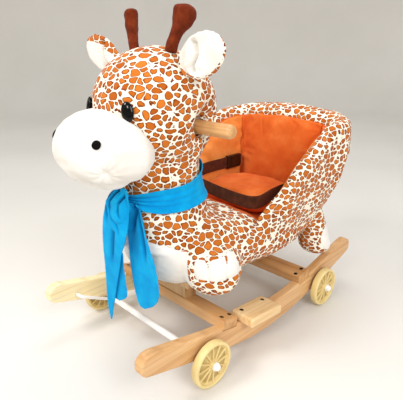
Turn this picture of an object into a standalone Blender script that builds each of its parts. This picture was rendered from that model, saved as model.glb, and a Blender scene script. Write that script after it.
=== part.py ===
# A plush giraffe rocker that stands on four wheels or on its two curved rails.
# Metres, +Z up. The animal faces -Y and its left side is +X. The floor is z = 0.
# Two wire frames, one at each end, swing under and over the rails to bring the
# wheels down or to put them away.

import math

import bmesh
import bpy
import numpy as np
from mathutils import Matrix, Vector

# Clearances
GAP = 0.0003            # between pieces that touch
SLIP = 0.0004           # round a rod that turns in a hole
SEWN = 0.0005           # between sewn plush pieces
MERGE = 0.00003         # points closer than this after a cut become one
FLAT = 0.000001         # how far a flat face's corners may lie off its plane
GLUED = 0.0010          # how far glued boards run into each other before they are joined
BEYOND = 0.0020         # how far a cutter reaches out past the face that it cuts

# Wheels and axles
WHEEL_RADIUS = 0.0425
WHEEL_WIDTH = 0.015
WHEEL_TRACK = 0.3326    # centre to centre, left to right
WHEEL_BASE = 0.362      # centre to centre, front to rear
RIM_DEPTH = 0.0058
SPOKES = 12
SPOKE_WIDTH = 0.0026
SPOKE_DEPTH = 0.0080
WEB_THICKNESS = 0.0026      # the disc that closes the wheel between its ribs
HUB_RADIUS = 0.0080
HUB_WIDTH = 0.0180
AXLE_RADIUS = 0.0040
COLLAR_RADIUS = 0.0058
COLLAR_WIDTH = 0.0028
CAP_RADIUS = 0.0078
CAP_LENGTH = 0.0100

# Wire frame that carries each axle
WIRE_RADIUS = 0.0032
WIRE_BEND = 0.0080
ARM_INSET = 0.0150          # from the rail's inner face to the arm's middle
SLEEVE_RADIUS = 0.0063
PIVOT_Y = 0.2600
PIVOT_Z = 0.0830
PIVOT_DEPTH = 0.0120    # how far the wire's end goes into the rail

# Rails
RAIL_THICKNESS = 0.0200
RAIL_CLEARANCE = 0.0043     # between a wheel's hub and the rail
RAIL_LENGTH = 0.6340
RAIL_HEIGHT = 0.0480
RAIL_TAPER = 0.0095     # how much lower the rail is at its ends
RAIL_TIP_TOP = 0.0250       # radius of the tip's upper corner
RAIL_TIP_LOW = 0.0130       # radius of the tip's lower corner
RAIL_SLOPE = 0.3000     # slope that the curve settles to
RAIL_REACH = 0.1500     # length over which it gets there
RAIL_EDGE = 0.0030

# Boards and bars on the rails
BAR_Y = 0.1200
BAR_WIDTH = 0.0375
BAR_THICKNESS = 0.0200
BAR_SUNK = 0.0045
BAR_EDGE = 0.0025
FOOT_REST_Y = -0.0470
FOOT_REST_LENGTH = 0.0900
FOOT_REST_WIDTH = 0.0510
FOOT_REST_THICKNESS = 0.0175
FOOT_REST_INSET = 0.0030    # from the rail's inner face to the board's edge
FOOT_REST_EDGE = 0.0035
RISER_WIDTH = 0.1000
RISER_DEPTH = 0.0280
BOARD_Z = 0.1350            # underside of the seat board
SCREW_RADIUS = 0.0021
SCREW_HEAD_RADIUS = 0.0042
SCREW_HEAD_DEPTH = 0.0026
SCREW_LENGTH = 0.0300
BAR_SCREW_INSET = 0.0060    # from the rail's inner face to the screw's middle
BAR_SCREW_PITCH = 0.0210
REST_SCREW_PITCH = 0.0630

# Boards inside the plush
BOARD_THICKNESS = 0.0120
BOARD_HALF_WIDTH = 0.0780
BOARD_FRONT_Y = -0.1500
BOARD_BACK_Y = 0.1560
POST_THICKNESS = 0.0180
POST_DEPTH = 0.0550
POST_Y = -0.1180

# Handle
HANDLE_RADIUS = 0.0118
HANDLE_LENGTH = 0.2970
HANDLE_Y = -0.1160
HANDLE_RISE = 0.2910        # axis over the seat board's underside
HANDLE_RING = 0.0100        # from the end to the turned ring

# Body; heights are over the seat board's underside
TORSO_WIDTH = 0.2760
LAP_HEIGHT = 0.1150
SEAT_BASE_HEIGHT = 0.0900
BELLY_FRONT_Y = -0.2040
SEAT_BACK_Y = 0.2120
NECK_RADIUS = 0.0715        # under the scarf
NECK_Y = -0.1450
HEAD_RADIUS = 0.1065
HEAD_Y = -0.1500
HEAD_RISE = 0.3150
HEAD_DIMPLE = 0.0360        # how deep the cloth is drawn in round the handle
MUZZLE_WIDTH = 0.1800
MUZZLE_LENGTH = 0.1500
MUZZLE_HEIGHT = 0.1270
MUZZLE_Y = -0.2550
MUZZLE_DROP = 0.0510        # muzzle's centre under the head's centre
MUZZLE_PITCH = -6.0         # degrees; its front lies lower
EYE_HALF_WIDTH = 0.0102
EYE_HALF_HEIGHT = 0.0162
EYE_HALF_DEPTH = 0.0065
EYE_TURN = 29.0             # degrees to the side, round the head
EYE_LIFT = 5.5              # degrees over the head's middle
NOSTRIL_RADIUS = 0.0070
NOSTRIL_TURN = 45.0         # degrees to the side, round the muzzle
NOSTRIL_LIFT = 21.0         # degrees over the muzzle's middle
HORN_HEIGHT = 0.0770
HORN_WIDTH = 0.0350         # across its rounded top
HORN_THICKNESS = 0.0245
EAR_LENGTH = 0.0960
EAR_WIDTH = 0.0640
EAR_THICKNESS = 0.0150
FOOT_RADIUS = 0.0530
FRONT_LEG_LENGTH = 0.1200
HIND_LEG_LENGTH = 0.1150
HIND_LEG_RAKE = 0.2100      # how far back it leans for each metre down
HIND_FOOT_RADIUS = 0.0360

# Seat
RIM_HALF_WIDTH = 0.1500     # middle of the padded rim, from the centre plane
RIM_BACK_Y = 0.2500
RIM_CORNER = 0.0650
RIM_HEIGHT = 0.2915         # top of the rim at the middle of the back
RIM_ROLL = 0.0230           # height of the rounded part of the rim
WALL_FRONT_Y = -0.0200
SEAT_HALF_WIDTH = 0.1100    # between the side walls, at the cushion
SEAT_BACK_FACE_Y = 0.2000   # face of the back wall, at the cushion
SEAT_SPREAD = 0.0260        # how much further out the side walls' faces lie at the rim
SEAT_LEAN = 0.0240          # how much further back the back wall's face lies at the rim
PAD_THICKNESS = 0.0085
CUSHION_HALF_WIDTH = 0.0960
CUSHION_FRONT_Y = 0.0270
CUSHION_BACK_Y = 0.1880
CUSHION_THICKNESS = 0.0430

# Lap belt
BELT_WIDTH = 0.0270
BELT_THICKNESS = 0.0022
BELT_CLEARANCE = 0.0030     # from the side pads' inner faces to the belt's middle
BELT_FRONT_Y = 0.0065
BELT_BACK_Y = 0.2060
BELT_CORNER = 0.0220
BELT_RISE = 0.1170          # lower edge at the front, over the board's underside
BELT_BACK_RISE = 0.0080     # how much higher the belt's lower edge lies at the back
BELT_FAR_RISE = 0.0140      # how much higher it lies on the buckle's side
BUCKLE_LENGTH = 0.0360
BUCKLE_WIDTH = 0.0320
BUCKLE_THICKNESS = 0.0090
BUCKLE_FRONT_Y = 0.1560
TONGUE_LENGTH = 0.0220

# Scarf
SCARF_THICKNESS = 0.0055
SCARF_RISE = 0.1790         # middle of the band over the seat board's underside
SCARF_TILT = 0.0150         # rise of the band's middle from front to back, each way
SCARF_FRONT_HEIGHT = 0.0330
SCARF_BACK_HEIGHT = 0.0640
KNOT_RADII = (0.0230, 0.0190, 0.0290)
TAIL_THICKNESS = 0.0050

COLOURS = {
    "pine": (0.69, 0.43, 0.18, 0.45, 0.0),
    "pale_pine": (0.83, 0.60, 0.31, 0.45, 0.0),
    "screw": (0.10, 0.08, 0.07, 0.40, 0.8),
    "white_metal": (0.85, 0.85, 0.83, 0.35, 0.1),
    "wheel": (0.71, 0.58, 0.20, 0.45, 0.0),
    "white_plastic": (0.90, 0.90, 0.90, 0.35, 0.0),
    "print_plush": (0.82, 0.48, 0.22, 0.95, 0.0),
    "white_plush": (0.90, 0.89, 0.86, 0.95, 0.0),
    "horn_plush": (0.16, 0.03, 0.015, 0.95, 0.0),
    "orange_plush": (0.72, 0.13, 0.03, 0.95, 0.0),
    "black_gloss": (0.01, 0.01, 0.01, 0.10, 0.0),
    "belt": (0.05, 0.015, 0.01, 0.80, 0.0),
    "buckle": (0.03, 0.02, 0.02, 0.35, 0.0),
    "fleece": (0.0, 0.30, 0.80, 0.95, 0.0),
    "plywood": (0.60, 0.42, 0.22, 0.60, 0.0),
}

SIDES = (("left", 1.0), ("right", -1.0))
ENDS = (("front", -1.0), ("rear", 1.0))

# Values that follow from the ones above
AXLE_Y = WHEEL_BASE / 2
WHEEL_X = WHEEL_TRACK / 2
RAIL_OUTER_X = WHEEL_X - HUB_WIDTH / 2 - RAIL_CLEARANCE
RAIL_INNER_X = RAIL_OUTER_X - RAIL_THICKNESS
RAIL_X = RAIL_OUTER_X - RAIL_THICKNESS / 2
RAIL_HALF = RAIL_LENGTH / 2
ARM_X = RAIL_INNER_X - ARM_INSET
SLEEVE_HALF = ARM_X - WIRE_RADIUS - GAP
BAR_SCREW_X = RAIL_INNER_X + BAR_SCREW_INSET
AXLE_HALF = WHEEL_X + HUB_WIDTH / 2 + CAP_LENGTH * 0.6
HANDLE_Z = BOARD_Z + HANDLE_RISE
BELT_HALF_SPAN = SEAT_HALF_WIDTH - PAD_THICKNESS - BELT_CLEARANCE
HEAD_CENTRE = Vector((0, HEAD_Y, BOARD_Z + HEAD_RISE))
MUZZLE_CENTRE = Vector((0, MUZZLE_Y, HEAD_CENTRE.z - MUZZLE_DROP))
MUZZLE_RADII = Vector((MUZZLE_WIDTH, MUZZLE_LENGTH, MUZZLE_HEIGHT)) / 2
TORSO_HALF = TORSO_WIDTH / 2
FRONT_END = MUZZLE_Y - MUZZLE_LENGTH / 2
BACK_END = RAIL_HALF
ORIGIN_SHIFT = -(FRONT_END + BACK_END) / 2      # puts the origin under the middle


def rail_rise(y):
    return RAIL_SLOPE * RAIL_REACH * math.log(math.cosh(y / RAIL_REACH))


def rail_slope(y):
    return RAIL_SLOPE * math.tanh(y / RAIL_REACH)


RAIL_LOW = WHEEL_RADIUS + AXLE_RADIUS + GAP - rail_rise(AXLE_Y)


def rail_bottom(y):
    return RAIL_LOW + rail_rise(y)


def rail_height(y):
    return RAIL_HEIGHT - RAIL_TAPER * (y / RAIL_HALF) ** 2


def rail_top(y):
    return rail_bottom(y) + rail_height(y)


# Building blocks

def material(name):
    found = bpy.data.materials.get(name)
    if found:
        return found
    red, green, blue, roughness, metallic = COLOURS[name]
    made = bpy.data.materials.new(name)
    made.use_nodes = True
    shader = made.node_tree.nodes["Principled BSDF"]
    shader.inputs["Base Color"].default_value = (red, green, blue, 1.0)
    shader.inputs["Roughness"].default_value = roughness
    shader.inputs["Metallic"].default_value = metallic
    made.diffuse_color = (red, green, blue, 1.0)
    return made


def is_flat(face):
    start = face.verts[0].co
    return all(abs((v.co - start).dot(face.normal)) < FLAT for v in face.verts)


def make(name, verts, faces, colour=None):
    mesh = bpy.data.meshes.new(name)
    mesh.from_pydata([tuple(v) for v in verts], [], faces)
    shell = bmesh.new()
    shell.from_mesh(mesh)
    bmesh.ops.recalc_face_normals(shell, faces=shell.faces[:])
    if shell.calc_volume(signed=True) < 0:
        bmesh.ops.reverse_faces(shell, faces=shell.faces[:])
    shell.normal_update()
    # Bent faces become triangles, so that every cut sees the same surface.
    bent = [f for f in shell.faces if len(f.verts) > 3 and not is_flat(f)]
    bmesh.ops.triangulate(shell, faces=bent, quad_method="FIXED")
    shell.to_mesh(mesh)
    shell.free()
    piece = bpy.data.objects.new(name, mesh)
    bpy.context.scene.collection.objects.link(piece)
    if colour:
        mesh.materials.append(material(colour))
    return piece


def loft(rings):
    """Skin over rings of equal count, closed by a fan at each end."""
    count = len(rings[0])
    verts = [p for ring in rings for p in ring]
    faces = []
    for k in range(len(rings) - 1):
        for i in range(count):
            j = (i + 1) % count
            faces.append((k * count + i, k * count + j, (k + 1) * count + j, (k + 1) * count + i))
    for k in (0, len(rings) - 1):
        middle = sum((Vector(p) for p in rings[k]), Vector()) / count
        verts.append(middle)
        for i in range(count):
            faces.append((k * count + i, k * count + (i + 1) % count, len(verts) - 1))
    return verts, faces


def hoop(rings):
    """Skin over rings of equal count that run round in a loop."""
    count = len(rings[0])
    total = len(rings)
    verts = [p for ring in rings for p in ring]
    faces = []
    for k in range(total):
        n = (k + 1) % total
        for i in range(count):
            j = (i + 1) % count
            faces.append((k * count + i, k * count + j, n * count + j, n * count + i))
    return verts, faces


def oval(centre, across, up, a, b, count, power=2.0):
    """A ring of points; power 2 is an ellipse and more is boxier."""
    points = []
    for i in range(count):
        turn = 2 * math.pi * i / count
        c, s = math.cos(turn), math.sin(turn)
        u = a * math.copysign(abs(c) ** (2 / power), c)
        v = b * math.copysign(abs(s) ** (2 / power), s)
        points.append(Vector(centre) + Vector(across) * u + Vector(up) * v)
    return points


def egg(centre, radii, count=24, levels=13, frame=None):
    """An ellipsoid with its poles on the frame's third axis."""
    frame = frame or Matrix.Identity(3)
    rings = []
    for k in range(1, levels):
        tilt = math.pi * k / levels
        height = -math.cos(tilt) * radii[2]
        spread = math.sin(tilt)
        middle = Vector(centre) + frame @ Vector((0, 0, height))
        rings.append(oval(middle, frame @ Vector((1, 0, 0)), frame @ Vector((0, 1, 0)),
                          radii[0] * spread, radii[1] * spread, count))
    verts, faces = loft(rings)
    verts[-2] = Vector(centre) - frame @ Vector((0, 0, radii[2]))
    verts[-1] = Vector(centre) + frame @ Vector((0, 0, radii[2]))
    return verts, faces


def turned(profile, count, centre, axis):
    """A solid turned round an axis from (distance along, radius) pairs, closed at its ends."""
    axis = Vector(axis).normalized()
    across = axis.orthogonal().normalized()
    up = axis.cross(across)
    rings = [oval(Vector(centre) + axis * along, across, up, radius, radius, count)
             for along, radius in profile]
    return loft(rings)


def turned_ring(profile, count, centre, axis):
    """A turned solid with a bore, from a closed loop of (distance along, radius) pairs."""
    axis = Vector(axis).normalized()
    across = axis.orthogonal().normalized()
    up = axis.cross(across)
    rings = [oval(Vector(centre) + axis * along, across, up, radius, radius, count)
             for along, radius in profile]
    return hoop(rings)


def block(centre, size, turn=None):
    """A box; turn is a 3 by 3 rotation."""
    turn = turn or Matrix.Identity(3)
    half = Vector(size) / 2
    verts = [Vector(centre) + turn @ Vector((x * half.x, y * half.y, z * half.z))
             for x in (-1, 1) for y in (-1, 1) for z in (-1, 1)]
    faces = [(0, 1, 3, 2), (4, 6, 7, 5), (0, 4, 5, 1), (2, 3, 7, 6), (0, 2, 6, 4), (1, 5, 7, 3)]
    return verts, faces


def prism(outline, start, end):
    """A solid from a closed outline of (y, z) pairs, pulled along X."""
    count = len(outline)
    verts = [(start, y, z) for y, z in outline] + [(end, y, z) for y, z in outline]
    faces = [(i, (i + 1) % count, count + (i + 1) % count, count + i) for i in range(count)]
    faces += [tuple(range(count)), tuple(range(count, 2 * count))]
    return verts, faces


def tube(points, radius, sides):
    """A round bar along a path, with flat ends square to it."""
    points = [Vector(p) for p in points]
    rings = []
    across = None
    for k, point in enumerate(points):
        ahead = points[min(k + 1, len(points) - 1)] - points[max(k - 1, 0)]
        ahead.normalize()
        if across is None:
            across = ahead.orthogonal().normalized()
        across = (across - ahead * across.dot(ahead)).normalized()
        rings.append(oval(point, across, ahead.cross(across), radius, radius, sides))
    return loft(rings)


def curve(pairs, at):
    """Reads a curve of (place, value) pairs at a place, straight between them."""
    return float(np.interp(at, [p for p, _ in pairs], [v for _, v in pairs]))


def modified_mesh(piece):
    view = bpy.context.evaluated_depsgraph_get()
    return bpy.data.meshes.new_from_object(piece.evaluated_get(view))


def settle(piece):
    """Replaces a piece's mesh by what its modifiers make of it."""
    fresh = modified_mesh(piece)
    if not fresh.polygons:
        # The plain cut can lose a piece that it only grazes; this slower one keeps it.
        for step in piece.modifiers:
            step.use_self = True
        fresh = modified_mesh(piece)
    piece.modifiers.clear()
    old = piece.data
    piece.data = fresh
    bpy.data.meshes.remove(old)


def drop_scraps(piece):
    """Keeps only the largest body of a piece, where a cut leaves slivers beside it."""
    work = bmesh.new()
    work.from_mesh(piece.data)
    bmesh.ops.remove_doubles(work, verts=work.verts, dist=MERGE)
    bmesh.ops.dissolve_degenerate(work, edges=work.edges, dist=MERGE)
    waiting = set(work.verts)
    bodies = []
    while waiting:
        front = [waiting.pop()]
        body = list(front)
        while front:
            near = [e.other_vert(v) for v in front for e in v.link_edges]
            front = [v for v in set(near) if v in waiting]
            waiting.difference_update(front)
            body += front
        bodies.append(body)
    bodies.sort(key=len)
    for body in bodies[:-1]:
        bmesh.ops.delete(work, geom=body, context="VERTS")
    work.to_mesh(piece.data)
    work.free()


def combine(piece, shape, operation):
    """Cuts or joins a piece with a shape of verts and faces, exactly."""
    tool = make("tool", *shape)
    step = piece.modifiers.new("shape", "BOOLEAN")
    step.operation = operation
    step.solver = "EXACT"
    step.object = tool
    settle(piece)
    spent = tool.data
    bpy.data.objects.remove(tool)
    bpy.data.meshes.remove(spent)
    drop_scraps(piece)


def cut(piece, shape):
    combine(piece, shape, "DIFFERENCE")


def fuse(piece, shape):
    combine(piece, shape, "UNION")


def round_edges(piece, width, segments=2, angle=0.6):
    step = piece.modifiers.new("edges", "BEVEL")
    step.width = width
    step.segments = segments
    step.limit_method = "ANGLE"
    step.angle_limit = angle
    settle(piece)


def swollen(shape, gap):
    """The same closed shape with every point moved outwards by the gap."""
    guide = make("guide", *shape)
    guide.data.update()
    moved = [v.co + v.normal * gap for v in guide.data.vertices]
    data = guide.data
    faces = [tuple(f.vertices) for f in data.polygons]
    bpy.data.objects.remove(guide)
    bpy.data.meshes.remove(data)
    return moved, faces


def grown(size, gap):
    return [s + 2 * gap for s in size]


def tilt_about_x(slope):
    return Matrix.Rotation(math.atan(slope), 3, "X")


# Wooden frame

def bar_frame(end):
    """Middle and turn of the cross bar at one end of the rails."""
    y = end * BAR_Y
    turn = tilt_about_x(rail_slope(y))
    middle = Vector((0, y, rail_top(y))) + turn @ Vector((0, 0, BAR_THICKNESS / 2 - BAR_SUNK))
    return middle, turn


def bar_shape(end, gap=0.0):
    middle, turn = bar_frame(end)
    size = (2 * RAIL_OUTER_X, BAR_WIDTH, BAR_THICKNESS)
    # The housing in the rail is open at its outer face, so only the cutter is longer.
    if gap:
        size = grown(size, gap)
        size[0] += RAIL_THICKNESS
    return block(middle, size, turn)


def rest_frame(side):
    turn = tilt_about_x(rail_slope(FOOT_REST_Y))
    x = side * (RAIL_INNER_X - FOOT_REST_INSET + FOOT_REST_WIDTH / 2)
    seat = Vector((x, FOOT_REST_Y, rail_top(FOOT_REST_Y)))
    return seat + turn @ Vector((0, 0, FOOT_REST_THICKNESS / 2)), turn


def rest_shape(side, gap=0.0):
    middle, turn = rest_frame(side)
    return block(middle, grown((FOOT_REST_WIDTH, FOOT_REST_LENGTH, FOOT_REST_THICKNESS), gap), turn)


def screw_shape(head, turn, gap=0.0):
    """A countersunk screw whose head's top middle is given; with a gap it is the hole for it."""
    down = turn @ Vector((0, 0, -1))
    above = 2 * BEYOND if gap else 0.0
    wide = SCREW_HEAD_RADIUS + gap
    thin = SCREW_RADIUS + gap
    profile = [(-above, wide), (0.0, wide), (SCREW_HEAD_DEPTH, thin), (SCREW_LENGTH + gap, thin)]
    return turned(profile if gap else profile[1:], 8, head, down)


def bar_screws():
    """Name, top middle and turn of each screw that holds a cross bar."""
    found = []
    for end_name, end in ENDS:
        middle, turn = bar_frame(end)
        for side_name, side in SIDES:
            for place, step in (("fore", -0.5), ("aft", 0.5)):
                local = Vector((side * BAR_SCREW_X, step * BAR_SCREW_PITCH, BAR_THICKNESS / 2 - GAP))
                name = "%s_bar_%s_%s_screw" % (end_name, side_name, place)
                found.append((name, middle + turn @ local, turn))
    return found


def rest_screws():
    found = []
    for side_name, side in SIDES:
        middle, turn = rest_frame(side)
        for place, step in (("fore", -0.5), ("aft", 0.5)):
            local = Vector((side * RAIL_X - middle.x, step * REST_SCREW_PITCH,
                            FOOT_REST_THICKNESS / 2 - GAP))
            name = "%s_foot_rest_%s_screw" % (side_name, place)
            found.append((name, middle + turn @ local, turn))
    return found


def rail_outline():
    """Side view of a rail: curved edges and rounded tips, fuller on top."""
    stations = [(RAIL_HALF - RAIL_TIP_TOP) * k / 5 for k in range(-5, 6)]
    top = [(y, rail_top(y)) for y in stations]
    stations = [(RAIL_HALF - RAIL_TIP_LOW) * k / 5 for k in range(-5, 6)]
    low = [(y, rail_bottom(y)) for y in reversed(stations)]
    tip = []
    for radius, edge, sign in ((RAIL_TIP_TOP, rail_top, 1), (RAIL_TIP_LOW, rail_bottom, -1)):
        start = RAIL_HALF - radius
        slope = rail_slope(RAIL_HALF) * (0.6 if sign > 0 else 1.0)
        part = []
        for k in range(1, 4):
            turn = math.pi / 2 * k / 4
            y = start + radius * math.sin(turn)
            z = edge(start) + slope * (y - start) - sign * radius * (1 - math.cos(turn))
            part.append((y, z))
        tip.append(part)
    rear = tip[0] + tip[1][::-1]
    front = [(-y, z) for y, z in rear[::-1]]
    return top + rear + low + front


def build_rails(holes):
    for name, side in SIDES:
        rail = make(name + "_rail", *prism(rail_outline(), side * RAIL_INNER_X, side * RAIL_OUTER_X),
                    "pine")
        round_edges(rail, RAIL_EDGE)
        for _, end in ENDS:
            cut(rail, bar_shape(end, GAP))
            mouth = Vector((side * (RAIL_INNER_X - BEYOND), end * PIVOT_Y, PIVOT_Z))
            depth = PIVOT_DEPTH + BEYOND + GAP
            cut(rail, turned([(0, WIRE_RADIUS + SLIP), (depth, WIRE_RADIUS + SLIP)], 16, mouth,
                             (side, 0, 0)))
        cut(rail, rest_shape(side, GAP))
        for hole in holes:
            cut(rail, hole)


def build_bars(holes):
    for name, end in ENDS:
        bar = make(name + "_cross_bar", *bar_shape(end), "pine")
        round_edges(bar, BAR_EDGE)
        for hole in holes:
            cut(bar, hole)
    for name, side in SIDES:
        board = make(name + "_foot_rest", *rest_shape(side), "pale_pine")
        round_edges(board, FOOT_REST_EDGE)
        for hole in holes:
            cut(board, hole)


def build_screws():
    for name, head, turn in bar_screws() + rest_screws():
        make(name, *screw_shape(head, turn), "screw")


# Axles, wire frames and wheels

def build_wire_frame(name, end):
    """The axle with its thicker middle, and the two bent wires that hold it to the rails."""
    y, z = end * AXLE_Y, WHEEL_RADIUS
    inner = WHEEL_X - HUB_WIDTH / 2 - GAP
    half = [(SLEEVE_HALF, SLEEVE_RADIUS), (SLEEVE_HALF, AXLE_RADIUS),
            (inner - COLLAR_WIDTH, AXLE_RADIUS), (inner - COLLAR_WIDTH, COLLAR_RADIUS),
            (inner, COLLAR_RADIUS), (inner, AXLE_RADIUS), (AXLE_HALF, AXLE_RADIUS)]
    profile = [(-x, r) for x, r in reversed(half)] + half
    frame = make(name + "_wire_frame", *turned(profile, 14, (0, y, z), (1, 0, 0)), "white_metal")
    for _, side in SIDES:
        corner = Vector((side * ARM_X, end * PIVOT_Y, PIVOT_Z))
        finish = Vector((side * ARM_X, y, z))
        along = (finish - corner).normalized()
        bend = corner + Vector((side * WIRE_BEND, 0, 0))
        path = [Vector((side * (RAIL_INNER_X + PIVOT_DEPTH), end * PIVOT_Y, PIVOT_Z))]
        for k in range(5):
            turn = math.pi / 2 * k / 4
            path.append(bend + Vector((-side, 0, 0)) * (WIRE_BEND * math.sin(turn))
                        + along * (WIRE_BEND * (1 - math.cos(turn))))
        path.append(finish)
        fuse(frame, tube(path, WIRE_RADIUS, 10))
    return frame


def wheel_mesh():
    """A closed wheel with ribs on both faces, round the X axis, centred on the origin."""
    outer, width = WHEEL_RADIUS, WHEEL_WIDTH / 2
    inner = outer - RIM_DEPTH
    tread = width * 0.72
    loop = [(-width, inner), (-width, outer - 0.0016), (-tread, outer), (tread, outer),
            (width, outer - 0.0016), (width, inner)]
    wheel = make("wheel", *turned_ring(loop, 24, (0, 0, 0), (1, 0, 0)), "wheel")
    star = []
    reach = inner + RIM_DEPTH * 0.5
    for k in range(SPOKES):
        turn = 2 * math.pi * (k + 0.25) / SPOKES
        for radius, sign in ((HUB_RADIUS, -1), (reach, -1), (reach, 1), (HUB_RADIUS, 1)):
            spread = turn + sign * math.asin(SPOKE_WIDTH / 2 / radius)
            star.append((radius * math.cos(spread), radius * math.sin(spread)))
    fuse(wheel, prism(star, -SPOKE_DEPTH / 2, SPOKE_DEPTH / 2))
    web = WEB_THICKNESS / 2
    fuse(wheel, turned([(-web, reach), (web, reach)], 24, (0, 0, 0), (1, 0, 0)))
    hub = HUB_WIDTH / 2
    fuse(wheel, turned([(-hub, HUB_RADIUS), (hub, HUB_RADIUS)], 12, (0, 0, 0), (1, 0, 0)))
    bore = AXLE_RADIUS + SLIP
    cut(wheel, turned([(-hub - BEYOND, bore), (hub + BEYOND, bore)], 12, (0, 0, 0), (1, 0, 0)))
    mesh = wheel.data
    bpy.data.objects.remove(wheel)
    return mesh


def cap_mesh():
    """A domed push-on cap for the axle's end, round the X axis, open towards -X."""
    bore = AXLE_RADIUS + GAP
    depth = CAP_LENGTH * 0.6 + GAP
    flange = CAP_LENGTH * 0.22
    dome = [(0, CAP_RADIUS), (flange, CAP_RADIUS), (flange, CAP_RADIUS * 0.86)]
    for k in range(1, 4):
        turn = math.pi / 2 * k / 4
        dome.append((flange + (CAP_LENGTH - flange) * math.sin(turn),
                     CAP_RADIUS * 0.86 * math.cos(turn)))
    cap = make("cap", *turned(dome, 12, (0, 0, 0), (1, 0, 0)), "white_plastic")
    cut(cap, turned([(-BEYOND, bore), (depth, bore)], 10, (0, 0, 0), (1, 0, 0)))
    mesh = cap.data
    bpy.data.objects.remove(cap)
    return mesh


def place_mesh(name, mesh, location, turn_z=0.0):
    piece = bpy.data.objects.new(name, mesh)
    piece.location = location
    piece.rotation_euler = (0, 0, turn_z)
    bpy.context.scene.collection.objects.link(piece)
    return piece


def build_wheels():
    wheel = wheel_mesh()
    cap = cap_mesh()
    for end_name, end in ENDS:
        for side_name, side in SIDES:
            centre = Vector((side * WHEEL_X, end * AXLE_Y, WHEEL_RADIUS))
            place_mesh("%s_%s_wheel" % (end_name, side_name), wheel, centre)
            seat = centre + Vector((side * (HUB_WIDTH / 2 + GAP), 0, 0))
            turn = 0.0 if side > 0 else math.pi
            place_mesh("%s_%s_hub_cap" % (end_name, side_name), cap, seat, turn)


# Boards and handle inside the plush

def board_shape(gap=0.0):
    centre = (0, (BOARD_FRONT_Y + BOARD_BACK_Y) / 2, BOARD_Z + BOARD_THICKNESS / 2)
    size = (2 * BOARD_HALF_WIDTH, BOARD_BACK_Y - BOARD_FRONT_Y, BOARD_THICKNESS)
    if gap:
        # The plush is open under the board, so the cutter reaches down past it.
        centre = (0, centre[1], centre[2] - 0.005)
        size = (size[0], size[1], size[2] + 0.010)
    return block(centre, grown(size, gap))


def post_shape(gap=0.0):
    low = BOARD_Z + BOARD_THICKNESS - GLUED
    high = HANDLE_Z + HANDLE_RADIUS * 2.2
    size = (POST_THICKNESS, POST_DEPTH, high - low)
    return block((0, POST_Y, (low + high) / 2), grown(size, gap))


def riser_shape(end):
    """A block between a cross bar and the seat board, its foot cut to the bar's tilt."""
    middle, turn = bar_frame(end)
    slope = rail_slope(end * BAR_Y)
    crown = middle + turn @ Vector((0, 0, BAR_THICKNESS / 2 + GAP))
    front = middle.y - RISER_DEPTH / 2
    back = middle.y + RISER_DEPTH / 2
    outline = [(front, crown.z + slope * (front - crown.y)),
               (back, crown.z + slope * (back - crown.y)),
               (back, BOARD_Z + GLUED), (front, BOARD_Z + GLUED)]
    return prism(outline, -RISER_WIDTH / 2, RISER_WIDTH / 2)


def handle_shape(gap=0.0):
    half = HANDLE_LENGTH / 2
    radius = HANDLE_RADIUS + gap
    if gap:
        profile = [(-half, radius), (half, radius)]
    else:
        ring = half - HANDLE_RING
        side = [(ring - 0.0012, radius), (ring, radius - 0.0010), (ring + 0.0012, radius),
                (half - 0.0050, radius - 0.0010), (half - 0.0015, radius - 0.0040),
                (half, radius - 0.0080)]
        profile = [(-x, r) for x, r in reversed(side)] + side
    return turned(profile, 16, (0, HANDLE_Y, HANDLE_Z), (1, 0, 0))


def build_inner_frame():
    """Seat board, neck post and risers, glued into one; and the handle through the post."""
    frame = make("inner_frame", *board_shape(), "plywood")
    for _, end in ENDS:
        fuse(frame, riser_shape(end))
    fuse(frame, post_shape())
    cut(frame, handle_shape(GAP))
    make("handle_dowel", *handle_shape(), "pine")


# Plush animal. Each row is a place along the body and the size there.

def torso_shape():
    base = BOARD_Z
    lap = LAP_HEIGHT
    seat = SEAT_BASE_HEIGHT
    front, back = BELLY_FRONT_Y, SEAT_BACK_Y
    rows = [
        # y, half width, underside, top
        (front, TORSO_HALF * 0.16, base + lap * 0.52, base + lap * 0.78),
        (front + 0.006, TORSO_HALF * 0.38, base + lap * 0.28, base + lap * 1.02),
        (front + 0.026, TORSO_HALF * 0.62, base + lap * 0.07, base + lap * 1.22),
        (front + 0.050, TORSO_HALF * 0.75, base - lap * 0.02, base + lap * 1.28),
        (front + 0.078, TORSO_HALF * 0.83, base - lap * 0.02, base + lap * 1.26),
        (front + 0.120, TORSO_HALF * 0.91, base - lap * 0.03, base + lap * 1.16),
        (front + 0.164, TORSO_HALF * 0.97, base - lap * 0.03, base + lap * 1.05),
        (front + 0.204, TORSO_HALF, base - lap * 0.03, base + lap),
        (front + 0.216, TORSO_HALF, base - lap * 0.02, base + lap * 0.965),
        (front + 0.240, TORSO_HALF, base - lap * 0.02, base + seat * 1.02),
        (back - 0.130, TORSO_HALF * 0.99, base, base + seat),
        (back - 0.095, TORSO_HALF * 0.96, base + seat * 0.02, base + seat),
        (back - 0.065, TORSO_HALF * 0.89, base + seat * 0.12, base + seat),
        (back - 0.036, TORSO_HALF * 0.78, base + seat * 0.26, base + seat),
        (back - 0.012, TORSO_HALF * 0.62, base + seat * 0.47, base + seat),
        (back, TORSO_HALF * 0.44, base + seat * 0.66, base + seat * 0.94),
    ]
    rings = []
    for y, half, low, high in rows:
        ring = []
        for point in oval((0, y, (low + high) / 2), (1, 0, 0), (0, 0, 1), half, (high - low) / 2,
                          22, 2.5):
            level = (point.z - (low + high) / 2) / ((high - low) / 2)
            point.x *= 1 + 0.06 * level
            point.z = max(point.z, base)
            ring.append(point)
        rings.append(ring)
    return loft(rings)


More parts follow.
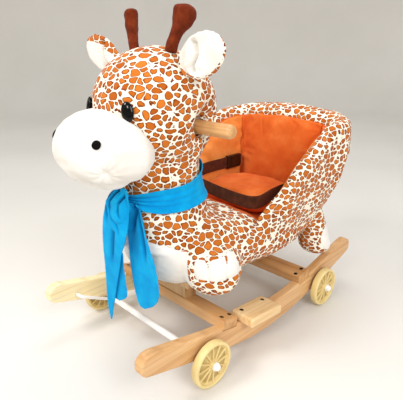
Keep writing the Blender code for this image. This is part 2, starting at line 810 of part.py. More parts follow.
def neck_place(height):
    """Middle and radius of the neck at a height over the seat board's underside."""
    radius = curve([(0.080, 1.320), (0.115, 1.200), (0.145, 1.100), (0.170, 1.040), (0.195, 1.0),
                    (0.228, 1.0), (0.246, 1.080), (0.268, 1.195), (0.300, 1.190)], height)
    shift = curve([(0.080, 0.017), (0.115, 0.013), (0.145, 0.009), (0.195, 0.001), (0.228, -0.001),
                   (0.268, 0.008), (0.300, 0.015)], height)
    return NECK_Y + shift, NECK_RADIUS * radius


def neck_shape():
    rings = []
    for height in (0.080, 0.115, 0.145, 0.170, 0.195, 0.228, 0.246, 0.268, 0.300):
        y, radius = neck_place(height)
        rings.append(oval((0, y, BOARD_Z + height), (1, 0, 0), (0, 1, 0), radius, radius, 22))
    return loft(rings)


def head_shape():
    verts, faces = egg(HEAD_CENTRE, (HEAD_RADIUS, HEAD_RADIUS, HEAD_RADIUS * 0.98), 24, 12)
    for v in verts:
        away = math.hypot(v.y - HANDLE_Y, v.z - HANDLE_Z)
        pull = HEAD_DIMPLE * math.exp(-(away / 0.030) ** 2)
        if abs(v.x) > pull * 1.4:
            v.x -= math.copysign(pull, v.x)
    return verts, faces


def muzzle_shape():
    frame = Matrix.Rotation(math.radians(MUZZLE_PITCH), 3, "X")
    return egg(MUZZLE_CENTRE, MUZZLE_RADII, 22, 11, frame)


def on_egg(centre, radii, azimuth, elevation):
    """A point and its normal on an ellipsoid; azimuth 0 looks to -Y, positive to +X."""
    a, e = math.radians(azimuth), math.radians(elevation)
    way = Vector((math.sin(a) * math.cos(e), -math.cos(a) * math.cos(e), math.sin(e)))
    point = Vector(centre) + Vector([way[i] * radii[i] for i in range(3)])
    normal = Vector([way[i] / radii[i] for i in range(3)]).normalized()
    return point, normal


def facing(normal, up=(0, 0, 1)):
    """Columns across, up and out for something lying on a surface."""
    out = Vector(normal).normalized()
    across = Vector(up).cross(out).normalized()
    return Matrix((across, out.cross(across), out)).transposed()


def eye_shape(side):
    radii = (HEAD_RADIUS,) * 3
    point, normal = on_egg(HEAD_CENTRE, radii, side * EYE_TURN, EYE_LIFT)
    lean = Vector((-side * 0.16, 0, 1))
    return egg(point, (EYE_HALF_WIDTH, EYE_HALF_HEIGHT, EYE_HALF_DEPTH), 14, 7,
               facing(normal, lean))


def nostril_shape(side):
    point, normal = on_egg(MUZZLE_CENTRE, MUZZLE_RADII, side * NOSTRIL_TURN, NOSTRIL_LIFT)
    return egg(point, (NOSTRIL_RADIUS, NOSTRIL_RADIUS, NOSTRIL_RADIUS * 0.45), 12, 6,
               facing(normal))


def horn_shape(side):
    """A round stalk whose top bulges outwards and backwards."""
    foot = HEAD_CENTRE + Vector((side * 0.0440, -0.0030, HEAD_RADIUS * 0.80))
    wide = Vector((side, 1, 0)).normalized()
    thin = Vector((-side, 1, 0)).normalized()
    rows = [
        # share of the height, sideways, forwards, half width, half thickness
        (0.00, 0.0000, 0.0000, 0.30, 0.33),
        (0.30, 0.0065, -0.0015, 0.29, 0.36),
        (0.50, 0.0130, -0.0055, 0.31, 0.38),
        (0.62, 0.0175, -0.0080, 0.38, 0.41),
        (0.74, 0.0210, -0.0105, 0.48, 0.46),
        (0.84, 0.0225, -0.0115, 0.50, 0.50),
        (0.92, 0.0215, -0.0110, 0.46, 0.47),
        (0.98, 0.0190, -0.0100, 0.32, 0.34),
    ]
    rings = []
    for up, out, ahead, wide_share, thin_share in rows:
        middle = foot + Vector((side * out, -ahead, HORN_HEIGHT * up))
        rings.append(oval(middle, wide, thin, HORN_WIDTH * wide_share,
                          HORN_THICKNESS * thin_share, 12))
    verts, faces = loft(rings)
    verts[-1] = verts[-1] + Vector((0, 0, HORN_HEIGHT * 0.02))
    return verts, faces


def ear_shape(side):
    """A thick leaf with a hollow front, from its foot on the head outwards."""
    foot = HEAD_CENTRE + Vector((side * 0.0815, -0.0120, 0.0740))
    along = Vector((side * 0.945, -0.06, 0.32)).normalized()
    front = Vector((0, -1, -0.10))
    front = (front - along * front.dot(along)).normalized()
    across = along.cross(front)
    rows = [
        # share of the length, share of the width
        (-0.04, 0.46), (0.08, 0.66), (0.22, 0.86), (0.38, 0.98), (0.55, 1.00), (0.72, 0.90),
        (0.86, 0.70), (0.96, 0.40), (1.00, 0.16),
    ]
    rings = []
    for share, wide in rows:
        middle = foot + along * EAR_LENGTH * share
        hollow = 1.1 * math.sin(math.pi * min(max(share, 0.0), 1.0))
        ring = []
        for point in oval((0, 0, 0), (1, 0, 0), (0, 1, 0), 1, 1, 12):
            depth = EAR_THICKNESS / 2 * wide * (point.y - hollow * (1 - point.x ** 2) * 0.6)
            ring.append(middle + across * (EAR_WIDTH / 2 * wide * point.x) + front * depth)
        rings.append(ring)
    return loft(rings)


def front_leg_shape(side):
    start = Vector((side * TORSO_HALF * 0.50, -0.0500, BOARD_Z + 0.064))
    way = Vector((side * 0.46, -0.84, -0.20)).normalized()
    across = way.cross(Vector((0, 0, 1))).normalized()
    up = across.cross(way)
    rows = [
        # share of the length, share of the foot's radius
        (0.00, 0.70), (0.30, 0.84), (0.52, 0.93), (0.70, 1.00), (0.84, 0.97), (0.93, 0.84),
        (0.985, 0.60), (1.00, 0.32),
    ]
    rings = []
    for along, share in rows:
        middle = start + way * FRONT_LEG_LENGTH * along
        rings.append(oval(middle, across, up, FOOT_RADIUS * share, FOOT_RADIUS * 0.93 * share, 16))
    return loft(rings)


def hind_leg_shape(side):
    top = Vector((side * TORSO_HALF * 0.845, 0.1900, BOARD_Z + 0.082))
    way = Vector((side * 0.02, HIND_LEG_RAKE, -1)).normalized()
    rows = [
        # share of the length, share of the foot's radius
        (0.00, 0.56), (0.22, 0.70), (0.45, 0.86), (0.66, 0.98), (0.82, 1.00), (0.92, 0.86),
        (0.98, 0.60), (1.00, 0.30),
    ]
    rings = []
    for along, share in rows:
        middle = top + way * HIND_LEG_LENGTH * along
        rings.append(oval(middle, (1, 0, 0), (0, 1, 0), HIND_FOOT_RADIUS * share,
                          HIND_FOOT_RADIUS * share, 16))
    return loft(rings)


def wall_path(share):
    """Plan point, outward normal and how far round to the back, for share 0 to 1."""
    half, back, corner = RIM_HALF_WIDTH, RIM_BACK_Y, RIM_CORNER
    straight = back - corner - WALL_FRONT_Y
    arc = math.pi / 2 * corner
    rear = 2 * (half - corner)
    along = share * (2 * straight + 2 * arc + rear)
    side = 1.0
    if share > 0.5:
        along = 2 * straight + 2 * arc + rear - along
        side = -1.0
    if along < straight:
        return Vector((side * half, WALL_FRONT_Y + along, 0)), Vector((side, 0, 0)), 0.0
    along -= straight
    if along < arc:
        turn = along / corner
        point = Vector((side * (half - corner + corner * math.cos(turn)),
                        back - corner + corner * math.sin(turn), 0))
        return point, Vector((side * math.cos(turn), math.sin(turn), 0)), math.sin(turn)
    along -= arc
    return Vector((side * (half - corner - along), back, 0)), Vector((0, 1, 0)), 1.0


def rim_height(point, backness):
    """Height of the rim's top over the board, for a plan point of the wall's path."""
    along = curve([(-0.030, 0.112), (-0.016, 0.1190), (0.016, 0.1520), (0.050, 0.1850),
                   (0.0925, 0.222), (0.143, 0.2500), (0.160, 0.2640), (0.176, 0.2710),
                   (0.215, 0.2755), (0.250, 0.2780)], point.y) / 0.2780
    crown = 0.0135 * math.cos(math.pi / 2 * min(abs(point.x) / RIM_HALF_WIDTH, 1.0))
    return (RIM_HEIGHT - 0.0135) * along + crown * backness


# How far the wall's outer face lies outside the path, by height over the board
OUTER_SIDE = [(0.020, -0.030), (0.062, -0.0145), (0.100, -0.0045), (0.145, 0.0105),
              (0.215, 0.0175), (0.290, 0.0170)]
OUTER_BACK = [(0.020, -0.090), (0.062, -0.0435), (0.100, -0.0025), (0.145, 0.0270),
              (0.215, 0.0500), (0.290, 0.0400)]
WALL_FOOT = 0.045       # bottom of the wall over the board's underside
WALL_TAPER = 0.060      # length over which the wall's front end grows to its full thickness
WALL_TUCK = 0.019       # how far inside the path the thin front end lies
ROLL_SHARE = 0.35       # most of the wall's height that the roll may take


def outer_plan(share, height):
    point, normal, backness = wall_path(share)
    offset = curve(OUTER_SIDE, height) * (1 - backness) + curve(OUTER_BACK, height) * backness
    full = min(1.0, max(0.0, (point.y - WALL_FRONT_Y) / WALL_TAPER))
    return point + normal * (offset * full - WALL_TUCK * (1 - full))


def shoulder_height(share):
    """Height at which the rim starts to round over, and the height of the rounding."""
    point, _, backness = wall_path(share)
    top = rim_height(point, backness)
    roll = min(RIM_ROLL, (top - WALL_FOOT) * ROLL_SHARE)
    return top - roll, roll


def inner_plan(share, height, inset=0.0):
    """Plan point of the wall's inner face; inset moves it into the seat."""
    point, normal, backness = wall_path(share)
    shoulder, _ = shoulder_height(share)
    level = (height - SEAT_BASE_HEIGHT) / max(shoulder - SEAT_BASE_HEIGHT, 0.02)
    level = min(max(level, 0.0), 1.0)
    sunk = max(SEAT_BASE_HEIGHT - height, 0.0)
    half = SEAT_HALF_WIDTH + SEAT_SPREAD * level - sunk * 0.5 - inset
    back = SEAT_BACK_FACE_Y + SEAT_LEAN * level - sunk * 1.1 - inset
    corner = 0.012 + 0.030 * level
    straight_end = RIM_BACK_Y - RIM_CORNER
    if backness <= 0.0:
        run = (point.y - WALL_FRONT_Y) / (straight_end - WALL_FRONT_Y)
        full = min(1.0, (point.y - WALL_FRONT_Y) / WALL_TAPER)
        half = half * full + (RIM_HALF_WIDTH - WALL_TUCK - 0.010 - inset) * (1 - full)
        return Vector((math.copysign(half, point.x),
                       WALL_FRONT_Y + run * (back - corner - WALL_FRONT_Y), 0))
    if backness >= 1.0:
        reach = point.x / (RIM_HALF_WIDTH - RIM_CORNER)
        return Vector((reach * (half - corner), back, 0))
    return Vector((math.copysign(half - corner, point.x), back - corner, 0)) + normal * corner


def wall_shares(stations, share_from=0.0, share_to=1.0):
    return [share_from + (share_to - share_from) * k / (stations - 1) for k in range(stations)]


def wall_shape():
    """The padded rim and walls round the seat, swept from one side round the back."""
    rings = []
    for share in wall_shares(25):
        shoulder, roll = shoulder_height(share)
        point, _, _ = wall_path(share)
        foot = WALL_FOOT + 0.016 * max(0.0, 1 - (point.y - WALL_FRONT_Y) / WALL_TAPER)
        base = min(SEAT_BASE_HEIGHT, foot + (shoulder - foot) * 0.8)
        ring = []
        for height in (foot, base, (base + shoulder) / 2):
            ring.append(inner_plan(share, height) + Vector((0, 0, height)))
        inner, outer = inner_plan(share, shoulder), outer_plan(share, shoulder)
        middle, half = (inner + outer) / 2, (outer - inner) / 2
        for step in range(7):
            turn = math.pi * step / 6
            ring.append(middle - half * math.cos(turn)
                        + Vector((0, 0, shoulder + roll * math.sin(turn))))
        for level in (0.75, 0.5, 0.25, 0.0):
            height = foot + (shoulder - foot) * level
            ring.append(outer_plan(share, height) + Vector((0, 0, height)))
        rings.append([p + Vector((0, 0, BOARD_Z)) for p in ring])
    return loft(rings)


# Pads: share of the wall's path at either end, stations between them, and crown
SIDE_PAD = (0.07, 0.350, 8, 0.0)
BACK_PAD = (0.362, 0.638, 9, 0.006)


def pad_shape(share_from, share_to, stations, crown):
    """A lining pad against the wall's inner face, fuller in its middle than at its edges."""
    low = SEAT_BASE_HEIGHT + GAP + SEWN
    rings = []
    for k, share in enumerate(wall_shares(stations, share_from, share_to)):
        high, _ = shoulder_height(share)
        edge = math.sin(math.pi * k / (stations - 1)) ** 0.5 if 0 < k < stations - 1 else 0.0
        front, back = [], []
        for step in range(5):
            level = step / 4
            height = Vector((0, 0, BOARD_Z + low + (high - low) * level))
            full = math.sin(math.pi * (0.15 + 0.70 * level)) * edge
            depth = PAD_THICKNESS * (0.40 + 0.60 * full) + crown * full
            plan_height = low + (high - low) * level
            back.append(inner_plan(share, plan_height, SEWN) + height)
            front.append(inner_plan(share, plan_height, SEWN + depth) + height)
        rings.append(back + front[::-1])
    return loft(rings)


def cushion_shape():
    """The seat cushion: crowned, with sides drawn in between its corners."""
    middle_y = (CUSHION_FRONT_Y + CUSHION_BACK_Y) / 2
    half_y = (CUSHION_BACK_Y - CUSHION_FRONT_Y) / 2
    low = BOARD_Z + SEAT_BASE_HEIGHT + GAP + SEWN
    rows = [
        # share of the thickness, share of the plan size
        (0.00, 0.88), (0.10, 0.96), (0.30, 1.00), (0.52, 0.99), (0.70, 0.945), (0.83, 0.85),
        (0.92, 0.68), (0.98, 0.42), (1.00, 0.18),
    ]
    rings = []
    for up, plan in rows:
        ring = []
        for point in oval((0, 0, 0), (1, 0, 0), (0, 1, 0), 1, 1, 24, 4.4):
            turn = math.atan2(point.y, point.x)
            drawn = 1 - 0.03 * (math.cos(4 * turn) + 1) / 2 * math.sin(math.pi * min(up * 1.6, 1))
            ring.append(Vector((CUSHION_HALF_WIDTH * point.x * plan * drawn,
                                middle_y + half_y * point.y * plan * drawn,
                                low + CUSHION_THICKNESS * up)))
        rings.append(ring)
    return loft(rings)


# Lap belt: webbing that stands on its edge round the seat, with a buckle on the right

def belt_path():
    """Plan points from the left back corner round the front to the right side."""
    half, front, back, corner = BELT_HALF_SPAN, BELT_FRONT_Y, BELT_BACK_Y, BELT_CORNER
    left = [(half, back), (half, back * 0.72), (half, back * 0.44), (half, front + corner)]
    for k in range(1, 5):
        turn = math.pi / 2 * k / 5
        left.append((half - corner + corner * math.cos(turn),
                     front + corner - corner * math.sin(turn)))
    left += [(half - corner, front), (half * 0.4, front)]
    right = [(-x, y) for x, y in left[::-1] if y < BUCKLE_FRONT_Y - TONGUE_LENGTH]
    return left + right + [(-half, BUCKLE_FRONT_Y - TONGUE_LENGTH + 0.004)]


def belt_low(x, y):
    """Height of the belt's lower edge: higher at the back and on the buckle's side."""
    back = min(max((y - BELT_FRONT_Y) / 0.080, 0.0), 1.0)
    far = min(max((0.040 - x) / (BELT_HALF_SPAN + 0.040), 0.0), 1.0)
    return BOARD_Z + BELT_RISE + BELT_BACK_RISE * back + BELT_FAR_RISE * far


def strap_shape(points):
    rings = []
    for k, (x, y) in enumerate(points):
        ahead = Vector(points[min(k + 1, len(points) - 1)]) - Vector(points[max(k - 1, 0)])
        ahead.normalize()
        out = Vector((ahead.y, -ahead.x, 0)) * (BELT_THICKNESS / 2)
        up = Vector((0, 0, BELT_WIDTH / 2))
        centre = Vector((x, y, belt_low(x, y))) + up
        rings.append([centre - out - up, centre + out - up, centre + out + up, centre - out + up])
    return loft(rings)


def buckle_middle(y):
    return Vector((-BELT_HALF_SPAN, y, belt_low(-BELT_HALF_SPAN, y) + BELT_WIDTH / 2))


def tongue_shapes(gap=0.0):
    """The buckle's tongue: a bar that holds the strap and a blade that enters the socket."""
    middle = buckle_middle(BUCKLE_FRONT_Y)
    bar_length = TONGUE_LENGTH / 2
    bar_end = BUCKLE_FRONT_Y - GAP
    blade_end = BUCKLE_FRONT_Y + TONGUE_LENGTH * 0.8
    bar = block((middle.x, bar_end - bar_length / 2, middle.z),
                grown((BUCKLE_THICKNESS, bar_length, BUCKLE_WIDTH), gap))
    blade = block((middle.x, (bar_end - 0.003 + blade_end) / 2, middle.z),
                  grown((BUCKLE_THICKNESS * 0.4, blade_end - bar_end + 0.003,
                         BUCKLE_WIDTH * 0.6), gap))
    return bar, blade


def build_belt():
    bar, blade = tongue_shapes()
    tongue = make("buckle_tongue", *bar, "buckle")
    round_edges(tongue, 0.0015)
    fuse(tongue, blade)
    bar_room, blade_room = tongue_shapes(GAP)
    strap = make("lap_belt_long", *strap_shape(belt_path()), "belt")
    cut(strap, bar_room)
    # The belt's two ends stop at the back pad's face, where they are sewn in.
    seam = swollen(pad_shape(*BACK_PAD), SEWN)
    cut(strap, seam)

    middle = buckle_middle(BUCKLE_FRONT_Y)
    socket_end = BUCKLE_FRONT_Y + BUCKLE_LENGTH
    socket = make("buckle_socket", *block((middle.x, BUCKLE_FRONT_Y + BUCKLE_LENGTH / 2, middle.z),
                                          (BUCKLE_THICKNESS, BUCKLE_LENGTH, BUCKLE_WIDTH)), "buckle")
    round_edges(socket, 0.0020)
    cut(socket, blade_room)
    short = [(-BELT_HALF_SPAN, socket_end + GAP), (-BELT_HALF_SPAN, BELT_BACK_Y)]
    cut(make("lap_belt_short", *strap_shape(short), "belt"), seam)


# Scarf

def band_shape():
    """The scarf's band, highest at the back of the neck and gathered at the front."""
    rings = []
    for k in range(24):
        turn = 2 * math.pi * k / 24
        way = Vector((math.sin(turn), math.cos(turn), 0))
        backness = (1 + math.cos(turn)) / 2
        rise = SCARF_RISE + SCARF_TILT * (2 * backness - 1)
        half = (SCARF_FRONT_HEIGHT + (SCARF_BACK_HEIGHT - SCARF_FRONT_HEIGHT) * backness) / 2
        section = []
        for level, depth in ((-1.0, 0.0), (-0.3, 0.0), (0.3, 0.0), (1.0, 0.0), (1.0, 0.7),
                             (0.5, 1.05), (0.1, 0.8), (-0.3, 1.0), (-1.0, 0.7)):
            height = rise + half * level
            y, radius = neck_place(height)
            reach = radius + 0.0012 + SCARF_THICKNESS * depth
            section.append(Vector((0, y, BOARD_Z + height)) + way * reach)
        rings.append(section)
    return hoop(rings)


def knot_centre():
    return Vector((-0.006, NECK_Y - NECK_RADIUS - SCARF_THICKNESS - 0.013,
                   BOARD_Z + SCARF_RISE - SCARF_TILT))


def knot_shape():
    return egg(knot_centre(), KNOT_RADII, 16, 9)


def tail_shape(rows, folds, phase):
    """A hanging scarf end: rows of height, left x, right x, y and depth of its folds."""
    count = 8
    rings = []
    for height, left, right, y, depth in rows:
        front, back = [], []
        for i in range(count):
            t = i / (count - 1)
            wave = depth * math.sin(math.pi * (folds * t + phase))
            place = Vector((left + (right - left) * t, y + wave, height))
            front.append(place - Vector((0, TAIL_THICKNESS / 2, 0)))
            back.append(place + Vector((0, TAIL_THICKNESS / 2, 0)))
        rings.append(front + back[::-1])
    return loft(rings)


def tail_rows():
    """The two ends: one pointed, in front, and one rounded, over the belly."""
    knot = knot_centre()
    top = knot.z
    pointed = [
        (top - 0.010, -0.024, 0.012, knot.y - 0.001, 0.003),
        (top - 0.030, -0.036, 0.025, knot.y - 0.003, 0.005),
        (top - 0.050, -0.041, 0.028, knot.y - 0.004, 0.005),
        (top - 0.075, -0.042, 0.020, knot.y - 0.004, 0.005),
        (top - 0.105, -0.044, 0.009, knot.y - 0.004, 0.004),
        (top - 0.145, -0.046, -0.006, knot.y - 0.003, 0.003),
        (top - 0.188, -0.047, -0.022, knot.y - 0.002, 0.002),
        (top - 0.220, -0.044, -0.032, knot.y - 0.001, 0.001),
        (top - 0.239, -0.0405, -0.0375, knot.y, 0.0),
    ]
    behind = knot.y + 0.0130
    rounded = [
        (top - 0.002, -0.004, 0.014, behind, 0.0),
        (top - 0.022, 0.000, 0.034, behind, 0.002),
        (top - 0.045, 0.004, 0.056, behind, 0.003),
        (top - 0.070, 0.008, 0.074, behind + 0.001, 0.004),
        (top - 0.100, 0.013, 0.086, behind + 0.001, 0.004),
        (top - 0.135, 0.019, 0.089, behind + 0.001, 0.003),
        (top - 0.158, 0.022, 0.084, behind + 0.001, 0.002),
        (top - 0.174, 0.027, 0.072, behind + 0.001, 0.001),
        (top - 0.182, 0.036, 0.058, behind + 0.001, 0.0),
    ]
    return pointed, rounded


def build_scarf(neck, torso):
    band = band_shape()
    piece = make("scarf_band", *band, "fleece")
    cut(piece, swollen(torso, SEWN))
    knot = make("scarf_knot", *knot_shape(), "fleece")
    cut(knot, swollen(band, SEWN))
    pointed, rounded = tail_rows()
    for name, rows, folds, phase in (("scarf_pointed_tail", pointed, 2.4, 0.1),
                                     ("scarf_rounded_tail", rounded, 2.0, 0.6)):
        tail = make(name, *tail_shape(rows, folds, phase), "fleece")
        cut(tail, swollen(knot_shape(), SEWN))
        cut(tail, swollen(band, SEWN))
        cut(tail, swollen(torso, SEWN))
        cut(tail, swollen(neck, SEWN))


def build_plush():
    torso, neck, head, muzzle = torso_shape(), neck_shape(), head_shape(), muzzle_shape()

    body = make("torso", *torso, "print_plush")
    cut(body, board_shape(GAP))
    cut(body, post_shape(GAP))

    throat = make("neck", *neck, "print_plush")
    cut(throat, swollen(torso, SEWN))
    cut(throat, swollen(head, SEWN))
    cut(throat, post_shape(GAP))
    cut(throat, handle_shape(GAP))

    skull = make("head", *head, "print_plush")
    cut(skull, post_shape(GAP))
    cut(skull, handle_shape(GAP))

    nose = make("muzzle", *muzzle, "white_plush")
    cut(nose, swollen(head, SEWN))
    cut(nose, swollen(neck, SEWN))

    for name, side in SIDES:
        horn = make(name + "_horn", *horn_shape(side), "horn_plush")
        cut(horn, swollen(head, SEWN))
        ear = make(name + "_ear", *ear_shape(side), "white_plush")
        cut(ear, swollen(head, SEWN))
        cut(ear, swollen(horn_shape(side), SEWN))
        leg = make(name + "_front_leg", *front_leg_shape(side), "print_plush")
        cut(leg, swollen(torso, SEWN))
        cut(leg, board_shape(GAP))
        leg = make(name + "_hind_leg", *hind_leg_shape(side), "print_plush")
        cut(leg, swollen(torso, SEWN))
        cut(leg, swollen(wall_shape(), SEWN))

        eye = make(name + "_eye", *eye_shape(side), "black_gloss")
        cut(eye, swollen(head, SEWN))
        cut(eye, swollen(muzzle, SEWN))
        nostril = make(name + "_nostril", *nostril_shape(side), "black_gloss")
        cut(nostril, swollen(muzzle, SEWN))
    return torso, neck


def build_seat(torso):
    room = swollen(torso, SEWN)
    wall = make("seat_wall", *wall_shape(), "print_plush")
    cut(wall, room)
    for name, pad in (("left_side_pad", SIDE_PAD), ("back_pad", BACK_PAD)):
        pad = make(name, *pad_shape(*pad), "orange_plush")
        cut(pad, room)
        cut(pad, swollen(wall_shape(), SEWN))
        if name == "left_side_pad":
            points = [(-v.co.x, v.co.y, v.co.z) for v in pad.data.vertices]
            faces = [tuple(f.vertices) for f in pad.data.polygons]
            make("right_side_pad", points, faces, "orange_plush")
    cushion = make("seat_cushion", *cushion_shape(), "orange_plush")
    cut(cushion, room)


# Put together

def set_origin(piece, point):
    """Moves a piece's origin to a point without moving the piece."""
    shift = Vector(point) - piece.location
    piece.data.transform(Matrix.Translation(-shift))
    piece.location = Vector(point)


def finish_shading(piece):
    piece.data.shade_smooth()
    piece.data.set_sharp_from_angle(angle=math.radians(38))


def main():
    for piece in list(bpy.data.objects):
        bpy.data.objects.remove(piece)

    holes = [screw_shape(head, turn, GAP) for _, head, turn in bar_screws() + rest_screws()]
    build_rails(holes)
    build_bars(holes)
    build_screws()
    for name, end in ENDS:
        # The frame turns about the line through its two ends in the rails.
        set_origin(build_wire_frame(name, end), (0, end * PIVOT_Y, PIVOT_Z))
    build_wheels()
    build_inner_frame()
    torso, neck = build_plush()
    build_seat(torso)
    build_belt()
    build_scarf(neck, torso)

    # Pieces that are still at the scene's origin get one at their own middle.
    for piece in bpy.data.objects:
        finish_shading(piece)
        if piece.location.length == 0:
            corners = [Vector(c) for c in piece.bound_box]
            set_origin(piece, sum(corners, Vector()) / 8)
        piece.location.y += ORIGIN_SHIFT


main()
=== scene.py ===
"""Looks of the plush giraffe rocker: skins, scarf, seat, wheels and materials on its frame."""

from math import atan2, copysign, cos, degrees, dist, exp, hypot, pi, radians, sin, sqrt

import bmesh
import bpy
import numpy as np
from mathutils import Euler, Matrix, Vector, noise


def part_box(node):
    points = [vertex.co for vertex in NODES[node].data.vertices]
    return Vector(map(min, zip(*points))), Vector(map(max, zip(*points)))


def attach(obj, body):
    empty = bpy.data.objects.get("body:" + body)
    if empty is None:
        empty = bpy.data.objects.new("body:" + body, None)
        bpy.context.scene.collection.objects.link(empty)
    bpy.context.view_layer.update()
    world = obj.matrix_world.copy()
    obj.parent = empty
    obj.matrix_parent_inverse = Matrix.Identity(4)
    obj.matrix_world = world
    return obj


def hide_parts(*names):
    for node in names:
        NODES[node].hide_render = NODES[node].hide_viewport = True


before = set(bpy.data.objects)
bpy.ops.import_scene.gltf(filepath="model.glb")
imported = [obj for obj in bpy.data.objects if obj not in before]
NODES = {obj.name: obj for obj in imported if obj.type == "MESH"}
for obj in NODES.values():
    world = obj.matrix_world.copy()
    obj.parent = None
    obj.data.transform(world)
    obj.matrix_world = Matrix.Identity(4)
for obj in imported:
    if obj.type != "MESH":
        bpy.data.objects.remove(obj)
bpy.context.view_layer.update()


def metres(value):
    """A number of millimetres in metres, or each number in a tuple of them."""
    return tuple(metres(v) for v in value) if isinstance(value, tuple) else value / 1000


# Places that the frame doesn't name; metres, in the frame's axes
SHIFT = 0.0065  # the wheelbase's middle lies this far behind the origin
BOARD_Z = 0.135  # underside of the seat board
SIDES = (("left", 1.0), ("right", -1.0))

# Head
HANDLE_Y = -0.116 + SHIFT
HANDLE_Z = 0.426
MUZZLE_MIDDLE_Z = 0.399
PUCKER = Vector((0.0663, -0.2914, 0.378))  # where the left cheek's cloth is drawn in
HORN_BULB_Z = 0.584
EAR_FOOT = Vector((0.0815, -0.162 + SHIFT, 0.524))
EAR_WAY = Vector((0.945, -0.06, 0.32)).normalized()
EAR_LENGTH = 0.096
EAR_WIDTH = 0.064

# Scarf
NECK_Y = -0.145 + SHIFT
NECK_RADIUS = 0.0715
BAND_RISE = 0.314  # height of the band's middle
BAND_TILT = 0.015
BAND_FRONT_RISE = 0.0075
BAND_HEIGHTS = ((0.0, 0.0215), (0.05, 0.031), (0.15, 0.0385), (0.5, 0.044), (1.0, 0.064))
BAND_STEPS = 144
BAND_LEVELS = 26
CLOTH = 0.0022  # thickness of the fleece
KNOT = Vector((-0.006, -0.235 + SHIFT, 0.299))
KNOT_MIDDLE = KNOT + Vector((0.004, 0.006, 0.0))
KNOT_RADII = (0.021, 0.0085, 0.02)
KNOT_RINGS = 40
KNOT_TURNS = 64

# Seat
CUSHION_HALF = (0.096, 0.0805)
CUSHION_MIDDLE_Y = 0.1075 + SHIFT
CUSHION_LOW = 0.2258
CUSHION_THICKNESS = 0.043
CUSHION_LEVELS = 34
CUSHION_TURNS = 96
CUSHION_SLACK = 0.975  # share of the solid's width that the cover has before it swells
CUSHION_RISE = 0.94  # the same share of its height
CUSHION_CORNER_POWER = 2 / 5.0
CUSHION_EDGE_POWER = 0.3
CUSHION_SEAM = 0.66  # share of the height at which the seam lies
BACK_DARTS = (-0.045, 0.05)
PUFF_STEPS = 20
PUFF_SHRINK = -0.03
BELT_HALF_SPAN = 0.0985
BELT_FRONT_Y = 0.0065 + SHIFT
BELT_BACK_Y = 0.209
BELT_CORNER = 0.022
BELT_WIDTH = 0.027
BELT_THICKNESS = 0.002
BELT_LOW = 0.252  # height of its lower edge in front
BELT_BACK_RISE = 0.008
BELT_FAR_RISE = 0.014
SHORT_BELT_Y = (0.1925 + SHIFT, 0.1945 + SHIFT, 0.199 + SHIFT)
SOCKET_FRONT_Y = 0.156 + SHIFT

# Wheels
SPOKES = 12
SPOKE_ENDS = (0.0075, 0.0357)  # distances of a rib's ends from the axle

# Stage, lamps and camera
STAGE_FLAT = 3.2
STAGE_BEND = 0.9
STAGE_HEIGHT = 2.3
STAGE_TURNS = 96
STAGE_DROP = 0.0004
SKY_TONE = (1.0, 0.98, 0.95, 1)
SKY_STRENGTH = 0.68
# Name, place, point aimed at, diameter, watts and colour of each lamp
LAMPS = (
    ("key", (-0.45, -1.5, 1.7), (0, 0, 0.3), 0.6, 18, (1.0, 0.97, 0.94)),
    ("fill", (1.7, -0.7, 1.4), (0, 0, 0.3), 1.1, 22, (0.97, 0.98, 1.0)),
    ("front", (0.55, -1.65, 1.35), (0, 0, 0.45), 0.35, 6, (1.0, 1.0, 1.0)),
    ("top", (-0.3, 0.5, 2.2), (0, 0, 0.2), 1.2, 12, (1.0, 1.0, 1.0)),
)
CAMERA_PLACE = (0.5856, -0.6232 + SHIFT, 0.5502)
CAMERA_DOWN = 19.27  # degrees below level
CAMERA_TURN = 45.09  # degrees round the object from its front to its left
CAMERA_FOCAL = 437.0  # in pixels of the photo
PHOTO_WIDTH = 403.0
SENSOR_WIDTH = 36.0


# Surfaces

def colour(code):
    """Linear RGBA of a #RRGGBB colour."""
    parts = [int(code[i:i + 2], 16) / 255 for i in (1, 3, 5)]
    return [p / 12.92 if p <= 0.04045 else ((p + 0.055) / 1.055) ** 2.4 for p in parts] + [1]


ZONE_EDGE = 0.0004  # half the width of the step between two cloths


